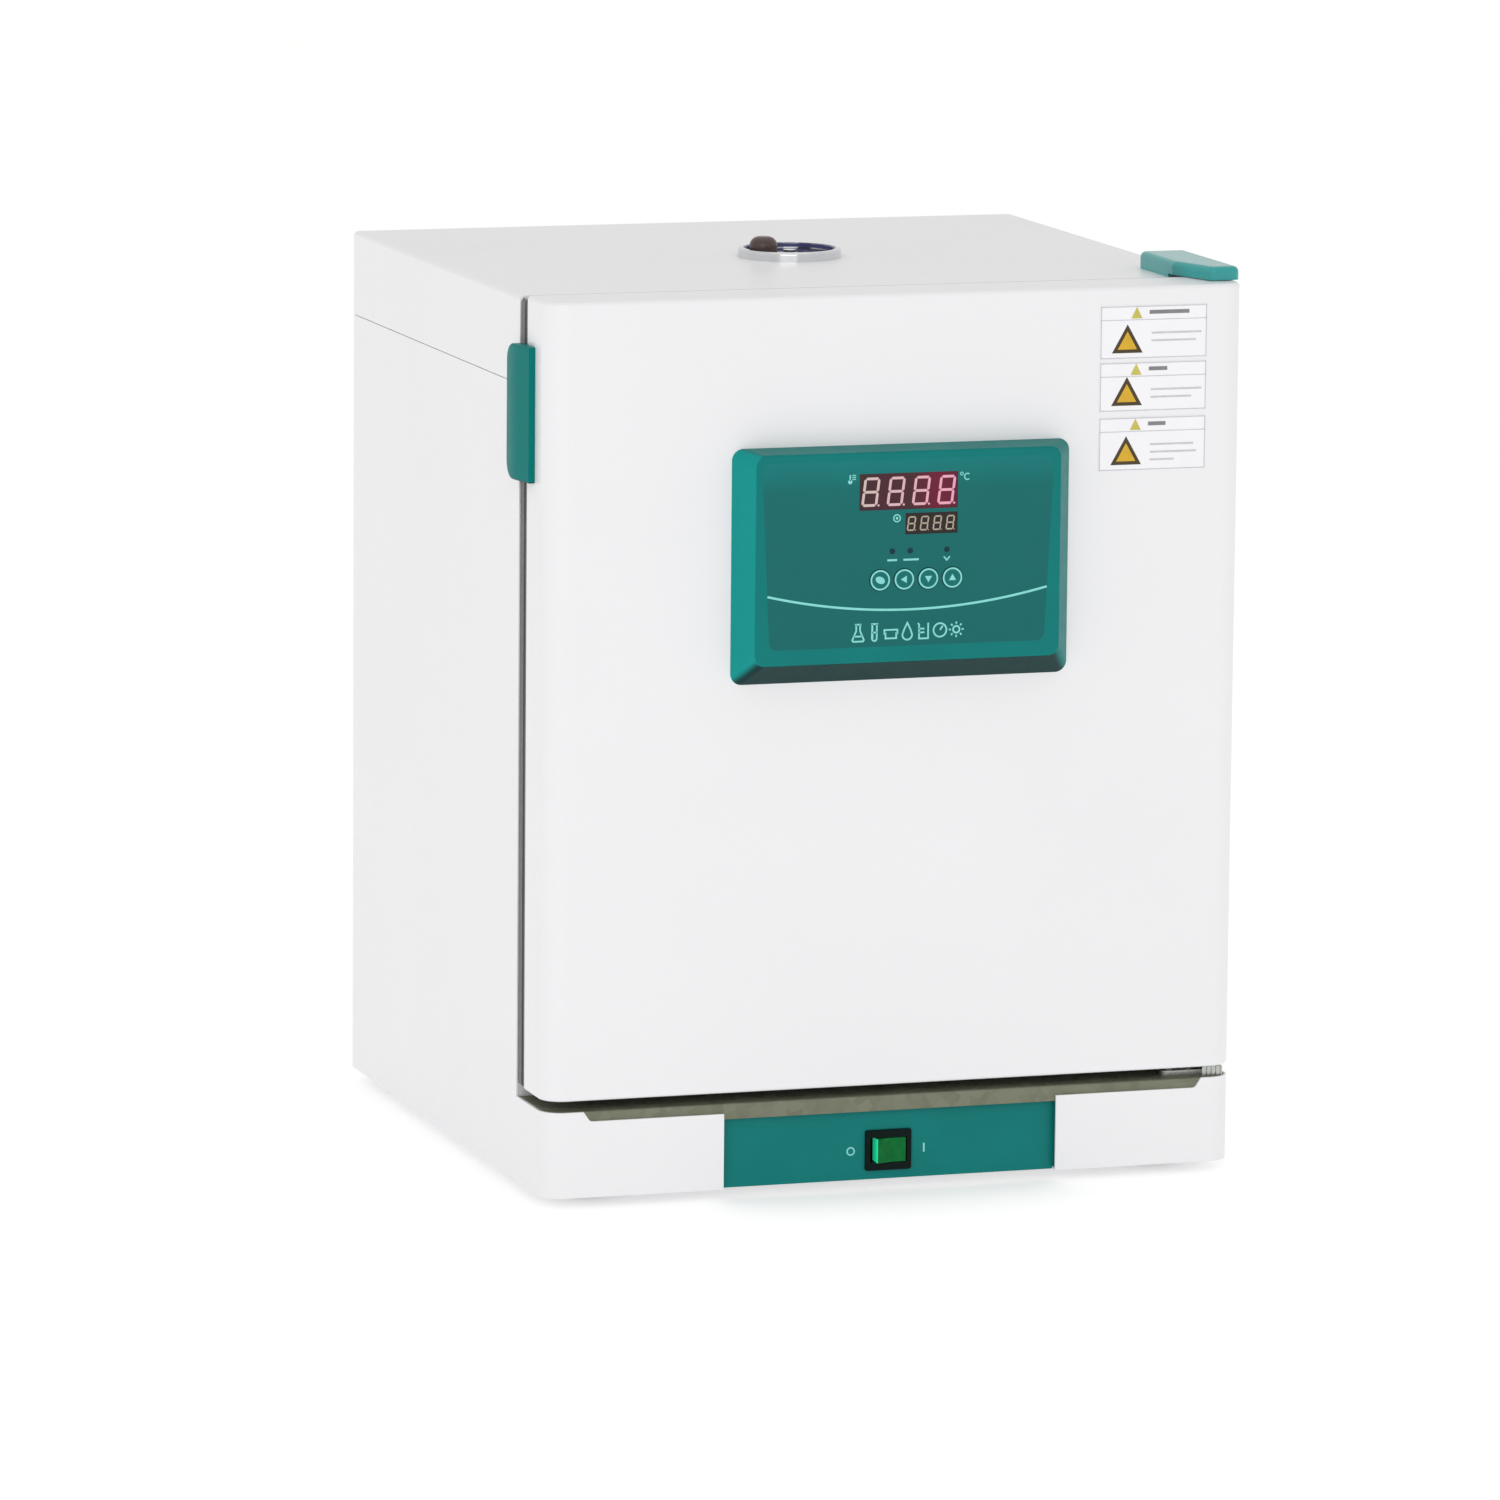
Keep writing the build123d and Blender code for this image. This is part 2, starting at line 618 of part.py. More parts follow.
def case_screws():
    """Pan-head screws of the rear panel, glass door brackets, feet and inlet."""
    for x, z in rear_screw_places():
        yield screw(Pos(x, BACK, z) * Rot(-90, 0, 0), HEAD_R, HEAD_H, SCREW_R, 6)
    for x, z in PIVOT_SCREWS:
        yield screw(Pos(x, FRONT - 1.5, z) * Rot(90, 0, 0), HEAD_R, HEAD_H, SCREW_R, 3.6)
    for x, y in FEET:
        yield screw(Pos(x, y, 3) * Rot(180, 0, 0), HEAD_R, HEAD_H, SCREW_R, 9)
    for end in (-1, 1):
        place = Pos(INLET_X + end * INLET_PITCH / 2, BACK, INLET_Z)
        yield screw(place * Rot(-90, 0, 0), HEAD_R, HEAD_H, SCREW_R, 6)


keep("feet", group(foot(x, y) for x, y in FEET))
keep("transformer", transformer())
keep("solid_state_relay", relay())
keep("terminal_block", terminal_block())
keep("safety_thermostat", safety_thermostat())
keep("power_inlet", power_inlet())
keep("case_screws", group(case_screws()))

# ---- Switch panel, switch and rocker -----------------------------------------------------------
SWITCH_MID = BASE + SWITCH_Z
SWITCH_RIM = 1.6
SWITCH_D = 22.0
PIVOT_BACK = 7.0  # rocker's axis behind the switch's rim
PIVOT_Y = SWITCH_FACE - SWITCH_RIM + PIVOT_BACK
CAVITY_W = ROCKER_W + 2.6
CAVITY_H = ROCKER_H + 0.8
CAVITY_D = 14.0
TRUNNION_R = 1.2
TRUNNION_OUT = 1.2


def switch_panel():
    x0, x1 = SWITCH_PANEL
    top = DECK - SHEET - FIT
    plate = block(x0 - 6, x1 + 6, SWITCH_FACE, SWITCH_BACK, BASE + SHEET + FIT, top)
    plate += block(x0 + FIT, x1 - FIT, SWITCH_FACE, SWITCH_BACK, BASE, top)
    half_w = SWITCH_W / 2 - 1.3
    half_h = SWITCH_H / 2 - 1.3
    window = rect(SWITCH_X - half_w, SWITCH_X + half_w, SWITCH_MID - half_h, SWITCH_MID + half_h)
    return plate - panel(window, SWITCH_FACE - 1, SWITCH_BACK + 1)


def switch_housing():
    half_w = SWITCH_W / 2
    half_h = SWITCH_H / 2
    rim = rect(SWITCH_X - half_w, SWITCH_X + half_w, SWITCH_MID - half_h, SWITCH_MID + half_h, 1.2)
    rim = panel(rim, SWITCH_FACE - SWITCH_RIM, SWITCH_FACE)
    rim = fillet(rim.faces().sort_by(Axis.Y)[0].outer_wire().edges(), 0.6)
    body_w = half_w - 1.5
    body_h = half_h - 1.5
    body = rect(SWITCH_X - body_w, SWITCH_X + body_w, SWITCH_MID - body_h, SWITCH_MID + body_h)
    shape = rim + panel(body, SWITCH_FACE, SWITCH_FACE + SWITCH_D)
    x = CAVITY_W / 2
    z = CAVITY_H / 2
    cavity = rect(SWITCH_X - x, SWITCH_X + x, SWITCH_MID - z, SWITCH_MID + z, 0.6)
    shape -= panel(cavity, SWITCH_FACE - SWITCH_RIM - 1, SWITCH_FACE - SWITCH_RIM + CAVITY_D)
    reach = ROCKER_H / 2 + TRUNNION_OUT + FIT
    shape -= post(SWITCH_X, PIVOT_Y, SWITCH_MID - reach, SWITCH_MID + reach, TRUNNION_R + RUN)
    for offset in (-6, 0, 6):
        x = SWITCH_X + offset
        y = SWITCH_FACE + SWITCH_D
        shape += block(x - 0.4, x + 0.4, y, y + 8, SWITCH_MID - 3, SWITCH_MID + 3)
    return shape


def power_rocker():
    """A rocker with a shallow V front, built level and then tipped about its upright axis."""
    half = ROCKER_W / 2
    crown = 1.6
    sag = half * math.tan(math.radians(ROCKER_TILT))
    front = -PIVOT_BACK - crown
    outline = [(-half, front), (0, front + sag), (half, front), (half - 2.4, 1.2)]
    outline += [(0, 4.0), (-half + 2.4, 1.2)]
    solid = upright(outline, -ROCKER_H / 2, ROCKER_H / 2)
    solid = fillet(solid.edges().filter_by(Axis.Z).group_by(Axis.Y)[0], 0.8)
    reach = ROCKER_H / 2 + TRUNNION_OUT
    solid += post(0, 0, -reach, reach, TRUNNION_R)
    return Pos(SWITCH_X, PIVOT_Y, SWITCH_MID) * Rot(0, 0, ROCKER_TILT) * solid


keep("switch_panel", switch_panel())
keep("switch_housing", switch_housing())
keep("power_rocker", power_rocker())


# ---- Vent on the top ----------------------------------------------------------------------------
def port(radius_in, radius_out, z0, z1, turn):
    """Two opposite quarter openings, turned by an angle from the X axis."""
    ring = post(0, 0, z0, z1, radius_out) - post(0, 0, z0, z1, radius_in)
    span = 68.0
    far = 2 * radius_out
    wedge = [(0, 0)]
    for angle in (0, span / 2, span):
        turned = math.radians(angle)
        wedge.append((far * math.cos(turned), far * math.sin(turned)))
    sector = Rot(0, 0, turn - span / 2) * upright(wedge, z0, z1)
    return Pos(VENT_X, VENT_Y, 0) * ((ring & sector) + (ring & (Rot(0, 0, 180) * sector)))


SEAT = TOP + 0.8  # upper face of the vent's fixed plate
DISC_LOW = SEAT + APART
DISC_TOP = DISC_LOW + 0.8
LINING_LOW = DISC_TOP + APART
LINING_TOP = TOP + VENT_H - 0.4
VENT_INNER = VENT_R - VENT_WALL
HUB_R = 2.0


def vent_flange():
    ring = post(VENT_X, VENT_Y, TOP, TOP + VENT_H, VENT_R)
    ring = fillet(ring.edges().group_by(Axis.Z)[-1], 1.4)
    ring -= post(VENT_X, VENT_Y, SEAT, TOP + VENT_H + 1, VENT_INNER)
    ring -= port(4.5, PORT_R, TOP - 1, SEAT + 1, 90)
    return ring - post(VENT_X, VENT_Y, TOP - 1, SEAT + 1, HUB_R)


def vent_tube():
    outer = post(VENT_X, VENT_Y, CEILING - 1.5, TOP, TUBE_R)
    return outer - post(VENT_X, VENT_Y, CEILING - 3, TOP + 1, TUBE_R - 1)


def vent_damper():
    disc = post(VENT_X, VENT_Y, DISC_LOW, DISC_TOP, VENT_INNER - 0.6)
    disc -= port(4.5, PORT_R - 1, DISC_LOW - 1, DISC_TOP + 1, 0)
    disc += post(VENT_X - KNOB_OFF, VENT_Y, DISC_LOW, DISC_TOP, KNOB_R - 1)
    return disc - post(VENT_X, VENT_Y, DISC_LOW - 1, DISC_TOP + 1, HUB_R + RUN)


def vent_knob():
    knob = post(VENT_X - KNOB_OFF, VENT_Y, DISC_TOP, DISC_TOP + KNOB_H, KNOB_R)
    knob = chamfer(knob.edges().group_by(Axis.Z)[0], 0.8)
    return fillet(knob.edges().group_by(Axis.Z)[-1], 5.0)


def vent_rivet():
    stem = post(VENT_X, VENT_Y, TOP, DISC_TOP + APART, HUB_R)
    return stem + post(VENT_X, VENT_Y, DISC_TOP + APART, DISC_TOP + APART + 1.2, HUB_R + 1.4)


def vent_lining():
    outer = post(VENT_X, VENT_Y, LINING_LOW, LINING_TOP, VENT_INNER)
    return outer - post(VENT_X, VENT_Y, LINING_LOW - 1, LINING_TOP + 1, VENT_INNER - 1.2)


keep("vent_flange", vent_flange())
keep("vent_tube", vent_tube())
keep("vent_damper", vent_damper())
keep("vent_knob", vent_knob())
keep("vent_rivet", vent_rivet())
keep("vent_lining", vent_lining())

# ---- Door hinges ---------------------------------------------------------------------------------
ARM_LOW = DOOR_TOP + APART  # underside of the upper bracket's arm
ARM_TOP = ARM_LOW + BRACKET_T


def cover_plan(inset):
    """Plan of the hinge cover: a tongue over the door that widens on to the cabinet."""
    right = SIDE + COVER_OUT
    front = FACE + COVER_FRONT
    outline = [
        (right, front), (SIDE - COVER_TIP, front), (SIDE - COVER_W, FRONT - 5.4),
        (SIDE - COVER_W, FRONT + COVER_BACK), (right, FRONT + COVER_BACK),
    ]  # fmt: skip
    sketch = make_face(Polyline(*outline, close=True))
    if not inset:
        return sketch
    inner = offset(sketch, -inset, kind=Kind.INTERSECTION)
    return fillet(inner.vertices(), COVER_ROUND - inset)


def upper_hinge_bracket():
    """A plate bent up from the cabinet's top, shaped to the inside of its cover."""
    arm = upright(cover_plan(COVER_WALL + FIT), ARM_LOW, ARM_TOP)
    pad = upright(cover_plan(COVER_WALL + FIT), TOP, ARM_LOW)
    pad &= block(0, SIDE + COVER_OUT, FRONT + 2, BACK, TOP, ARM_LOW)
    shape = arm + pad - post(HINGE_X, HINGE_Y, ARM_LOW - 1, ARM_TOP + 1, PIN_R)
    for x, y in bracket_screws():
        shape -= post(x, y, TOP - 1, ARM_TOP + 1, SCREW_R + 0.1)
    return shape


def lower_hinge_bracket():
    plate = block(SIDE - 36, SIDE - 2, HINGE_Y - 12, FRONT - 4.6, DECK, DECK + BRACKET_T)
    plate = fillet(plate.edges().filter_by(Axis.Z), 5)
    washer = post(HINGE_X, HINGE_Y, DECK + BRACKET_T, DOOR_LOW - APART, PIN_R + 3)
    front = FACE + 5
    lug = block(SIDE - 15, SIDE - 4, front, HINGE_Y, DECK, DOOR_LOW - 0.8)
    for groove in range(4):
        x = SIDE - 13.3 + groove * 2.5
        lug -= block(x, x + 1, front - 1, front + 0.7, DECK - 1, DOOR_LOW)
    shape = plate + washer + lug - post(HINGE_X, HINGE_Y, DECK - 1, DOOR_LOW, PIN_R)
    for x, y in LOWER_BRACKET_SCREWS:
        shape -= post(x, y, DECK - 1, DECK + BRACKET_T + 1, SCREW_R + 0.1)
    return shape


def bracket_screw_set():
    """Screws of both brackets, heads up."""
    for x, y in bracket_screws():
        yield screw(Pos(x, y, ARM_TOP), HEAD_R, HEAD_H, SCREW_R, ARM_TOP - TOP + 4)
    for x, y in LOWER_BRACKET_SCREWS:
        yield screw(Pos(x, y, DECK + BRACKET_T), HEAD_R, HEAD_H, SCREW_R, BRACKET_T + 4)


PIN_DEPTH = BUSH_L - 3
keep("upper_hinge_bracket", upper_hinge_bracket())
keep("lower_hinge_bracket", lower_hinge_bracket())
keep("bracket_screws", group(bracket_screw_set()))
keep(
    "hinge_pins",
    group(
        [
            post(HINGE_X, HINGE_Y, DOOR_TOP - PIN_DEPTH, ARM_TOP, PIN_R),
            post(HINGE_X, HINGE_Y, DECK, DOOR_LOW + PIN_DEPTH, PIN_R),
        ]
    ),
)


def hinge_bush(low):
    sleeve = post(HINGE_X, HINGE_Y, low, low + BUSH_L, BUSH_R)
    return sleeve - post(HINGE_X, HINGE_Y, low - 1, low + BUSH_L + 1, PIN_R + RUN)


keep("hinge_bushes", group([hinge_bush(DOOR_LOW), hinge_bush(DOOR_TOP - BUSH_L)]))


def hinge_cover():
    """A moulded cap over the upper bracket, open below, whose tongue clears the door."""
    roof = TOP + COVER_RISE
    cap = upright(cover_plan(0), ARM_LOW, roof)
    cap = fillet(cap.edges().filter_by(Axis.Z), COVER_ROUND)
    cap = fillet(cap.faces().sort_by(Axis.Z)[-1].outer_wire().edges(), 3.0)
    skirt = upright(cover_plan(0), TOP, ARM_LOW)
    skirt = fillet(skirt.edges().filter_by(Axis.Z), COVER_ROUND)
    skirt &= block(0, SIDE + COVER_OUT, FRONT + 1, BACK, TOP, ARM_LOW)
    hollow = upright(cover_plan(COVER_WALL), TOP - 1, roof - COVER_WALL)
    return cap + skirt - hollow


keep("hinge_cover", hinge_cover())


# ---- Door ---------------------------------------------------------------------------------------
def door_block(inset, y1):
    """The door's outside, or its inside when inset, as far back as y1."""
    solid = upright(plan(inset, FACE + inset, y1, CORNER_R - inset), DOOR_LOW + inset, DOOR_TOP - inset)
    return solid


GRIP_SCREW_ZS = (GRIP_LOW + 18, GRIP_TOP - 18)
GRIP_SCREW_Y = DOOR_BACK - 6.5
GRIP_SCREW_R = 1.5
GRIP_SCREW_IN = 3.4  # screw's depth in the grip


def door_skin():
    outside = door_block(0, DOOR_BACK)
    face_edges = outside.edges().group_by(Axis.Z)
    rims = [e for ring in (face_edges[0], face_edges[-1]) for e in ring if e.center().Y < DOOR_BACK - 1]
    outside = fillet(rims, DOOR_EDGE_R)
    skin = outside - door_block(SHEET, DOOR_BACK + 1)
    skin -= post(HINGE_X, HINGE_Y, DOOR_LOW - 1, DOOR_TOP + 1, BUSH_R)
    skin -= rod(PANEL_X, PANEL_LOW + 40, FACE - 1, FACE + SHEET + 1, 12)
    for z in GRIP_SCREW_ZS:
        skin -= bar(GRIP_SCREW_Y, z, -SIDE - 1, -INNER + 1, GRIP_SCREW_R + 0.1)
    return skin


def door_inner_panel():
    """A pressed sheet with a sunken pan that leaves room for the glass door's knob."""
    x = INNER
    z0 = DOOR_LOW + SHEET
    z1 = DOOR_TOP - SHEET
    y0 = DOOR_BACK - SHEET
    rim = rect(-x, x, z0, z1)
    well = rect(-x + PAN_EDGE, x - PAN_EDGE, z0 + PAN_EDGE, z1 - PAN_EDGE, 10)
    sheet = panel(rim, y0, DOOR_BACK) + panel(well, y0 - PAN_DEPTH, DOOR_BACK)
    inside = rect(
        -x + PAN_EDGE + SHEET, x - PAN_EDGE - SHEET, z0 + PAN_EDGE + SHEET, z1 - PAN_EDGE - SHEET, 9
    )
    return sheet - panel(inside, y0 - PAN_DEPTH + SHEET, DOOR_BACK + 1)


def door_insulation():
    slack = SHEET + PACK
    slab = upright(
        plan(slack, FACE + slack, DOOR_BACK - SHEET - PAN_DEPTH - PACK, CORNER_R - slack),
        DOOR_LOW + slack,
        DOOR_TOP - slack,
    )
    for low in (DOOR_LOW, DOOR_TOP - BUSH_L):
        slab -= post(HINGE_X, HINGE_Y, low - 1, low + BUSH_L + 1, BUSH_R + PACK)
    for z in GRIP_SCREW_ZS:
        slab -= bar(GRIP_SCREW_Y, z, -SIDE, -INNER + 4, 4)
    return slab


def door_seal():
    """A hollow-section seal: a ring with a groove around its outer side."""
    x0 = -SIDE + SEAL_INSET
    x1 = HINGE_X - 0.5
    z0 = DOOR_LOW + SEAL_INSET + 0.4
    z1 = TOP - SHEET - SEAL_INSET
    outer = rect(x0, x1, z0, z1, 1.5)
    inner = rect(x0 + SEAL_W, x1 - SEAL_W, z0 + SEAL_W, z1 - SEAL_W, 2)
    ring = panel(outer - inner, DOOR_BACK, FRONT - 0.3)
    neck = rect(x0 + 2, x1 - 2, z0 + 2, z1 - 2, 1)
    groove = panel(rect(x0 - 1, x1 + 1, z0 - 1, z1 + 1) - neck, DOOR_BACK + 4, DOOR_BACK + 7)
    return ring - groove


keep("door_skin", door_skin())
keep("door_inner_panel", door_inner_panel())
keep("door_insulation", door_insulation())
keep("door_seal", door_seal())


def door_grip():
    """A wedge-shaped grip on the door's edge, thicker towards the cabinet."""
    y0 = DOOR_BACK - GRIP_LAP
    y1 = y0 + GRIP_D
    z0 = GRIP_LOW
    z1 = GRIP_TOP
    side = Plane((-SIDE, 0, 0), x_dir=(0, 1, 0), z_dir=(1, 0, 0))
    outline = Pos((y0 + y1) / 2, (z0 + z1) / 2) * Rectangle(GRIP_D, GRIP_H)
    outline = fillet(outline.vertices().sort_by(Axis.X)[-2:], GRIP_R)
    body = extrude(side * outline, -GRIP_PROUD)
    wedge = [
        (-SIDE - GRIP_THIN, y0 - 1), (-SIDE - GRIP_PROUD - 1, y0 - 1),
        (-SIDE - GRIP_PROUD - 1, y0 + GRIP_D * 0.6), (-SIDE - GRIP_PROUD, y0 + GRIP_D * 0.6),
    ]  # fmt: skip
    body -= upright(wedge, z0 - 1, z1 + 1)
    bend = body.edges().filter_by(Axis.Z).filter_by(lambda e: e.center().X < -SIDE - GRIP_PROUD + 0.1)
    body = fillet(bend.filter_by(lambda e: e.center().Y < y1 - GRIP_R), 60)
    outer = body.edges().filter_by(lambda e: e.center().X < -SIDE - GRIP_THIN / 2)
    ends = outer.filter_by(lambda e: abs(e.center().Z - (z0 + z1) / 2) > GRIP_H / 2 - GRIP_R)
    rear = outer.filter_by(lambda e: e.center().Y > y1 - 0.1)
    body = fillet(ends + rear, 1.2)
    body -= block(-SIDE - 0.5, -SIDE + 1, DOOR_BACK + 0.5, y1 + 1, z0 - 1, z1 + 1)
    for z in GRIP_SCREW_ZS:
        body -= bar(GRIP_SCREW_Y, z, -SIDE - GRIP_SCREW_IN, -SIDE + 1, GRIP_SCREW_R)
    return body


def grip_screws():
    for z in GRIP_SCREW_ZS:
        head = bar(GRIP_SCREW_Y, z, -INNER, -INNER + 2, 2.8)
        yield head + bar(GRIP_SCREW_Y, z, -SIDE - GRIP_SCREW_IN, -INNER, GRIP_SCREW_R)


keep("door_grip", door_grip())
keep("grip_screws", group(grip_screws()))

# ---- Control panel on the door --------------------------------------------------------------------
FACE_LOW = PANEL_LOW + PANEL_FOOT
FACE_TOP = PANEL_TOP - PANEL_HEAD
FACE_HALF = PANEL_W / 2 - PANEL_SIDE
MAIN_X1 = PANEL_X + MAIN_W / 2
MAIN_DISPLAY = (MAIN_X1 - MAIN_W, MAIN_X1, PANEL_LOW + MAIN_UP, PANEL_LOW + MAIN_UP + MAIN_H)
SET_DISPLAY = (MAIN_X1 - SET_W, MAIN_X1, PANEL_LOW + SET_UP, PANEL_LOW + SET_UP + SET_H)
KEYS = ("set_key", "shift_key", "down_key", "up_key")
SWITCH_TALL = 1.0
KEY_PLACES = [KEY_X + (n - 1.5) * KEY_PITCH for n in range(4)]


def film_outline(shrink=0.0):
    half_top = FILM_TOP_W / 2 - shrink
    half_low = FILM_LOW_W / 2 - shrink
    top = FACE_TOP - FILM_TOP_IN - shrink
    low = FACE_LOW + FILM_LOW_IN + shrink
    corners = [(PANEL_X - half_low, low), (PANEL_X + half_low, low)]
    corners += [(PANEL_X + half_top, top), (PANEL_X - half_top, top)]
    return fillet(make_face(Polyline(*corners, close=True)).vertices(), 4)


def openings(gap):
    """Windows for the displays, and round holes for the lamps and keys."""
    shape = rect(*MAIN_DISPLAY) + rect(*SET_DISPLAY)
    for x in LAMP_XS:
        shape += Pos(x, LAMP_Z) * Circle(LAMP_R)
    for x in KEY_PLACES:
        shape += Pos(x, KEY_Z) * Circle(KEY_R + gap)
    return shape


def slope(inset, y_back, y_front):
    """The bezel's solid, or its hollow when inset: a block whose four sides lean in."""
    x0 = PANEL_X - PANEL_W / 2 + inset
    x1 = PANEL_X + PANEL_W / 2 - inset
    foot_line = rect(x0, x1, PANEL_LOW + inset, PANEL_TOP - inset, PANEL_R)
    f0 = PANEL_X - FACE_HALF + inset
    f1 = PANEL_X + FACE_HALF - inset
    face_line = rect(f0, f1, FACE_LOW + inset, FACE_TOP - inset, PANEL_R)
    return loft([facing(y_back) * foot_line, facing(y_front) * face_line])


def control_bezel():
    shell = slope(0, FACE, PANEL_FACE)
    shell = fillet(shell.faces().sort_by(Axis.Y)[0].outer_wire().edges(), 1.2)
    hollow = slope(PANEL_WALL, FACE, PANEL_FACE + PANEL_WALL)
    shell -= hollow
    shell -= panel(film_outline(), PANEL_FACE - 1, PANEL_FACE + FILM_T)
    shell -= panel(openings(APART), PANEL_FACE - 1, PANEL_FACE + PANEL_WALL + 1)
    for x in (PANEL_X - 62, PANEL_X + 62):
        for z in (FACE_LOW + 16, FACE_TOP - 14):
            shell += rod(x, z, PANEL_FACE + PANEL_WALL - 0.5, BOARD_Y, 3)
    return shell


def control_board():
    """The circuit board, with the keys' small switches soldered to it."""
    outline = rect(PANEL_X - 68, PANEL_X + 68, FACE_LOW + 8, FACE_TOP - 8, 3)
    board = panel(outline, BOARD_Y, BOARD_Y + BOARD_T)
    for x in KEY_PLACES:
        board += panel(rect(x - 3, x + 3, KEY_Z - 3, KEY_Z + 3), BOARD_Y - SWITCH_TALL, BOARD_Y)
    return board


def display_module(limits):
    x0, x1, z0, z1 = limits
    return panel(rect(x0, x1, z0, z1), PANEL_FACE + FILM_T / 2, BOARD_Y)


def control_key(x):
    """A key cap: a disc in the film with a collar behind the bezel and a stem to its switch."""
    z = KEY_Z
    cap = rod(x, z, PANEL_FACE - 0.5, PANEL_FACE + PANEL_WALL + APART, KEY_R)
    cap = fillet(cap.edges().group_by(Axis.Y)[0], 0.4)
    collar_y = PANEL_FACE + PANEL_WALL + APART
    cap += rod(x, z, collar_y, collar_y + 0.8, KEY_R + 0.9)
    return cap + rod(x, z, collar_y + 0.8, BOARD_Y - SWITCH_TALL - 0.2 - KEY_TRAVEL, 1.8)


keep("control_bezel", control_bezel())
keep("control_film", panel(film_outline() - openings(APART), PANEL_FACE, PANEL_FACE + FILM_T))
keep("control_board", control_board())
keep("main_display", display_module(MAIN_DISPLAY))
keep("set_display", display_module(SET_DISPLAY))
keep(
    "indicator_lamps",
    group(rod(x, LAMP_Z, PANEL_FACE - 0.2, BOARD_Y, LAMP_R) for x in LAMP_XS),
)
for name, place in zip(KEYS, KEY_PLACES):
    keep(name, control_key(place))


def labels():
    for drop, height in LABEL_ROWS:
        x0 = SIDE - LABEL_IN - LABEL_W / 2
        outline = rect(x0, x0 + LABEL_W, TOP - drop, TOP - drop + height, 1.5)
        yield panel(outline, FACE - LABEL_T, FACE)


keep("door_labels", group(labels()))

# ---- Inner glass door -----------------------------------------------------------------------------
GLASS_HALF = WALL_X + GLASS_LAP
CLAMP_R = GLASS_T / 2 + 1.1
CLAMP_L = 22.0
HEEL_BACK = GLASS_BACK + 0.7
HANDLE_X = -GLASS_HALF + 16
KNOB_Z = (GLASS_LOW + GLASS_TOP) / 2


def glass_pane():
    pane = rect(-GLASS_HALF, GLASS_HALF, GLASS_LOW, GLASS_TOP, 1.5)
    pane = panel(pane, GLASS_BACK - GLASS_T, GLASS_BACK)
    return pane - rod(HANDLE_X, KNOB_Z, GLASS_BACK - GLASS_T - 1, GLASS_BACK + 1, 2.5)


def glass_clamp(edge, outward):
    """A metal shoe on the pane's corner, bored for the pivot pin in its cap."""
    cap = edge + outward * CLAMP_CAP
    end = edge - outward * CLAMP_H
    z0, z1 = sorted((cap, end))
    shoe = block(GLASS_X - CLAMP_L, GLASS_X, GLASS_Y - CLAMP_R, GLASS_BACK, z0, z1)
    heel = post(GLASS_X, GLASS_Y, z0, z1, CLAMP_R)
    shoe += heel & block(GLASS_X - CLAMP_R, GLASS_X + CLAMP_R, GLASS_Y - CLAMP_R, HEEL_BACK, z0, z1)
    s0, s1 = sorted((edge, end - outward))
    shoe -= block(GLASS_X - CLAMP_L - 1, GLASS_X + 5, GLASS_Y - GLASS_T / 2, GLASS_BACK, s0, s1)
    return shoe - post(GLASS_X, GLASS_Y, z0 - 1, z1 + 1, GLASS_PIN_R + RUN)


def glass_pivot(edge, outward):
    """A bracket on the cabinet's front that carries the pivot pin."""
    near = edge + outward * (CLAMP_CAP + APART)
    far = near + outward * 3
    t0, t1 = sorted((near, far))
    tab = block(GLASS_X - 5, GLASS_X + 14, GLASS_Y - 4, FRONT, t0, t1)
    p0, p1 = sorted((near, far + outward * 12))
    tab += block(GLASS_X + 2, GLASS_X + 14, FRONT - 1.5, FRONT, p0, p1)
    for x, z in PIVOT_SCREWS:
        tab -= rod(x, z, FRONT - 3, FRONT + 1, SCREW_R + 0.1)
    q0, q1 = sorted((edge + outward * 0.4, near + outward))
    return tab + post(GLASS_X, GLASS_Y, q0, q1, GLASS_PIN_R)


def glass_seal():
    inner = rect(-WALL_X - 0.5, WALL_X + 0.5, FLOOR - 0.5, CEILING + 0.5)
    outer = rect(-GLASS_HALF + 3, GLASS_HALF - 7, GLASS_LOW + 3, GLASS_TOP - 3)
    return panel(outer - inner, GLASS_BACK + 0.3, FRONT)


def glass_knob():
    """A turned pull on both sides of a screw through the glass."""
    front = GLASS_BACK - GLASS_T
    knob = rod(HANDLE_X, KNOB_Z, front - 7, front, 8)
    knob = fillet(knob.edges().group_by(Axis.Y)[0], 1.5)
    return knob + rod(HANDLE_X, KNOB_Z, front, GLASS_BACK, 2.5)


ENDS = ((GLASS_LOW, -1), (GLASS_TOP, 1))
keep("glass_pane", glass_pane())
keep("glass_clamps", group(glass_clamp(*end) for end in ENDS))
keep("glass_pivots", group(glass_pivot(*end) for end in ENDS))
keep("glass_seal", glass_seal())
keep("glass_knob", glass_knob())

for name, shape in NODES.items():
    export_step(shape, f"parts/{name}.step")
print(len(NODES), "nodes")
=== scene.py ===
"""Looks of a bench-top laboratory incubator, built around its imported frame.

Outlines are written in millimetres, as (x, z) seen from the door's side, and turned into metres
when a mesh is made.
"""

import math

import bmesh
import bpy
from mathutils import Matrix, Vector


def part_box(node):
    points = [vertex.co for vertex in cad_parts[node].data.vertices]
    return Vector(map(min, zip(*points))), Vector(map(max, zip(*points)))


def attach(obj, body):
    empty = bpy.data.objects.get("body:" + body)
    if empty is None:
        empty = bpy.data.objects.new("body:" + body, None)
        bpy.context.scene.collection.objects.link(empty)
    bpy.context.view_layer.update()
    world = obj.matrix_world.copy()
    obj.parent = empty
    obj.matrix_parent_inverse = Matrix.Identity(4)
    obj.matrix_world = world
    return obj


MM = 0.001

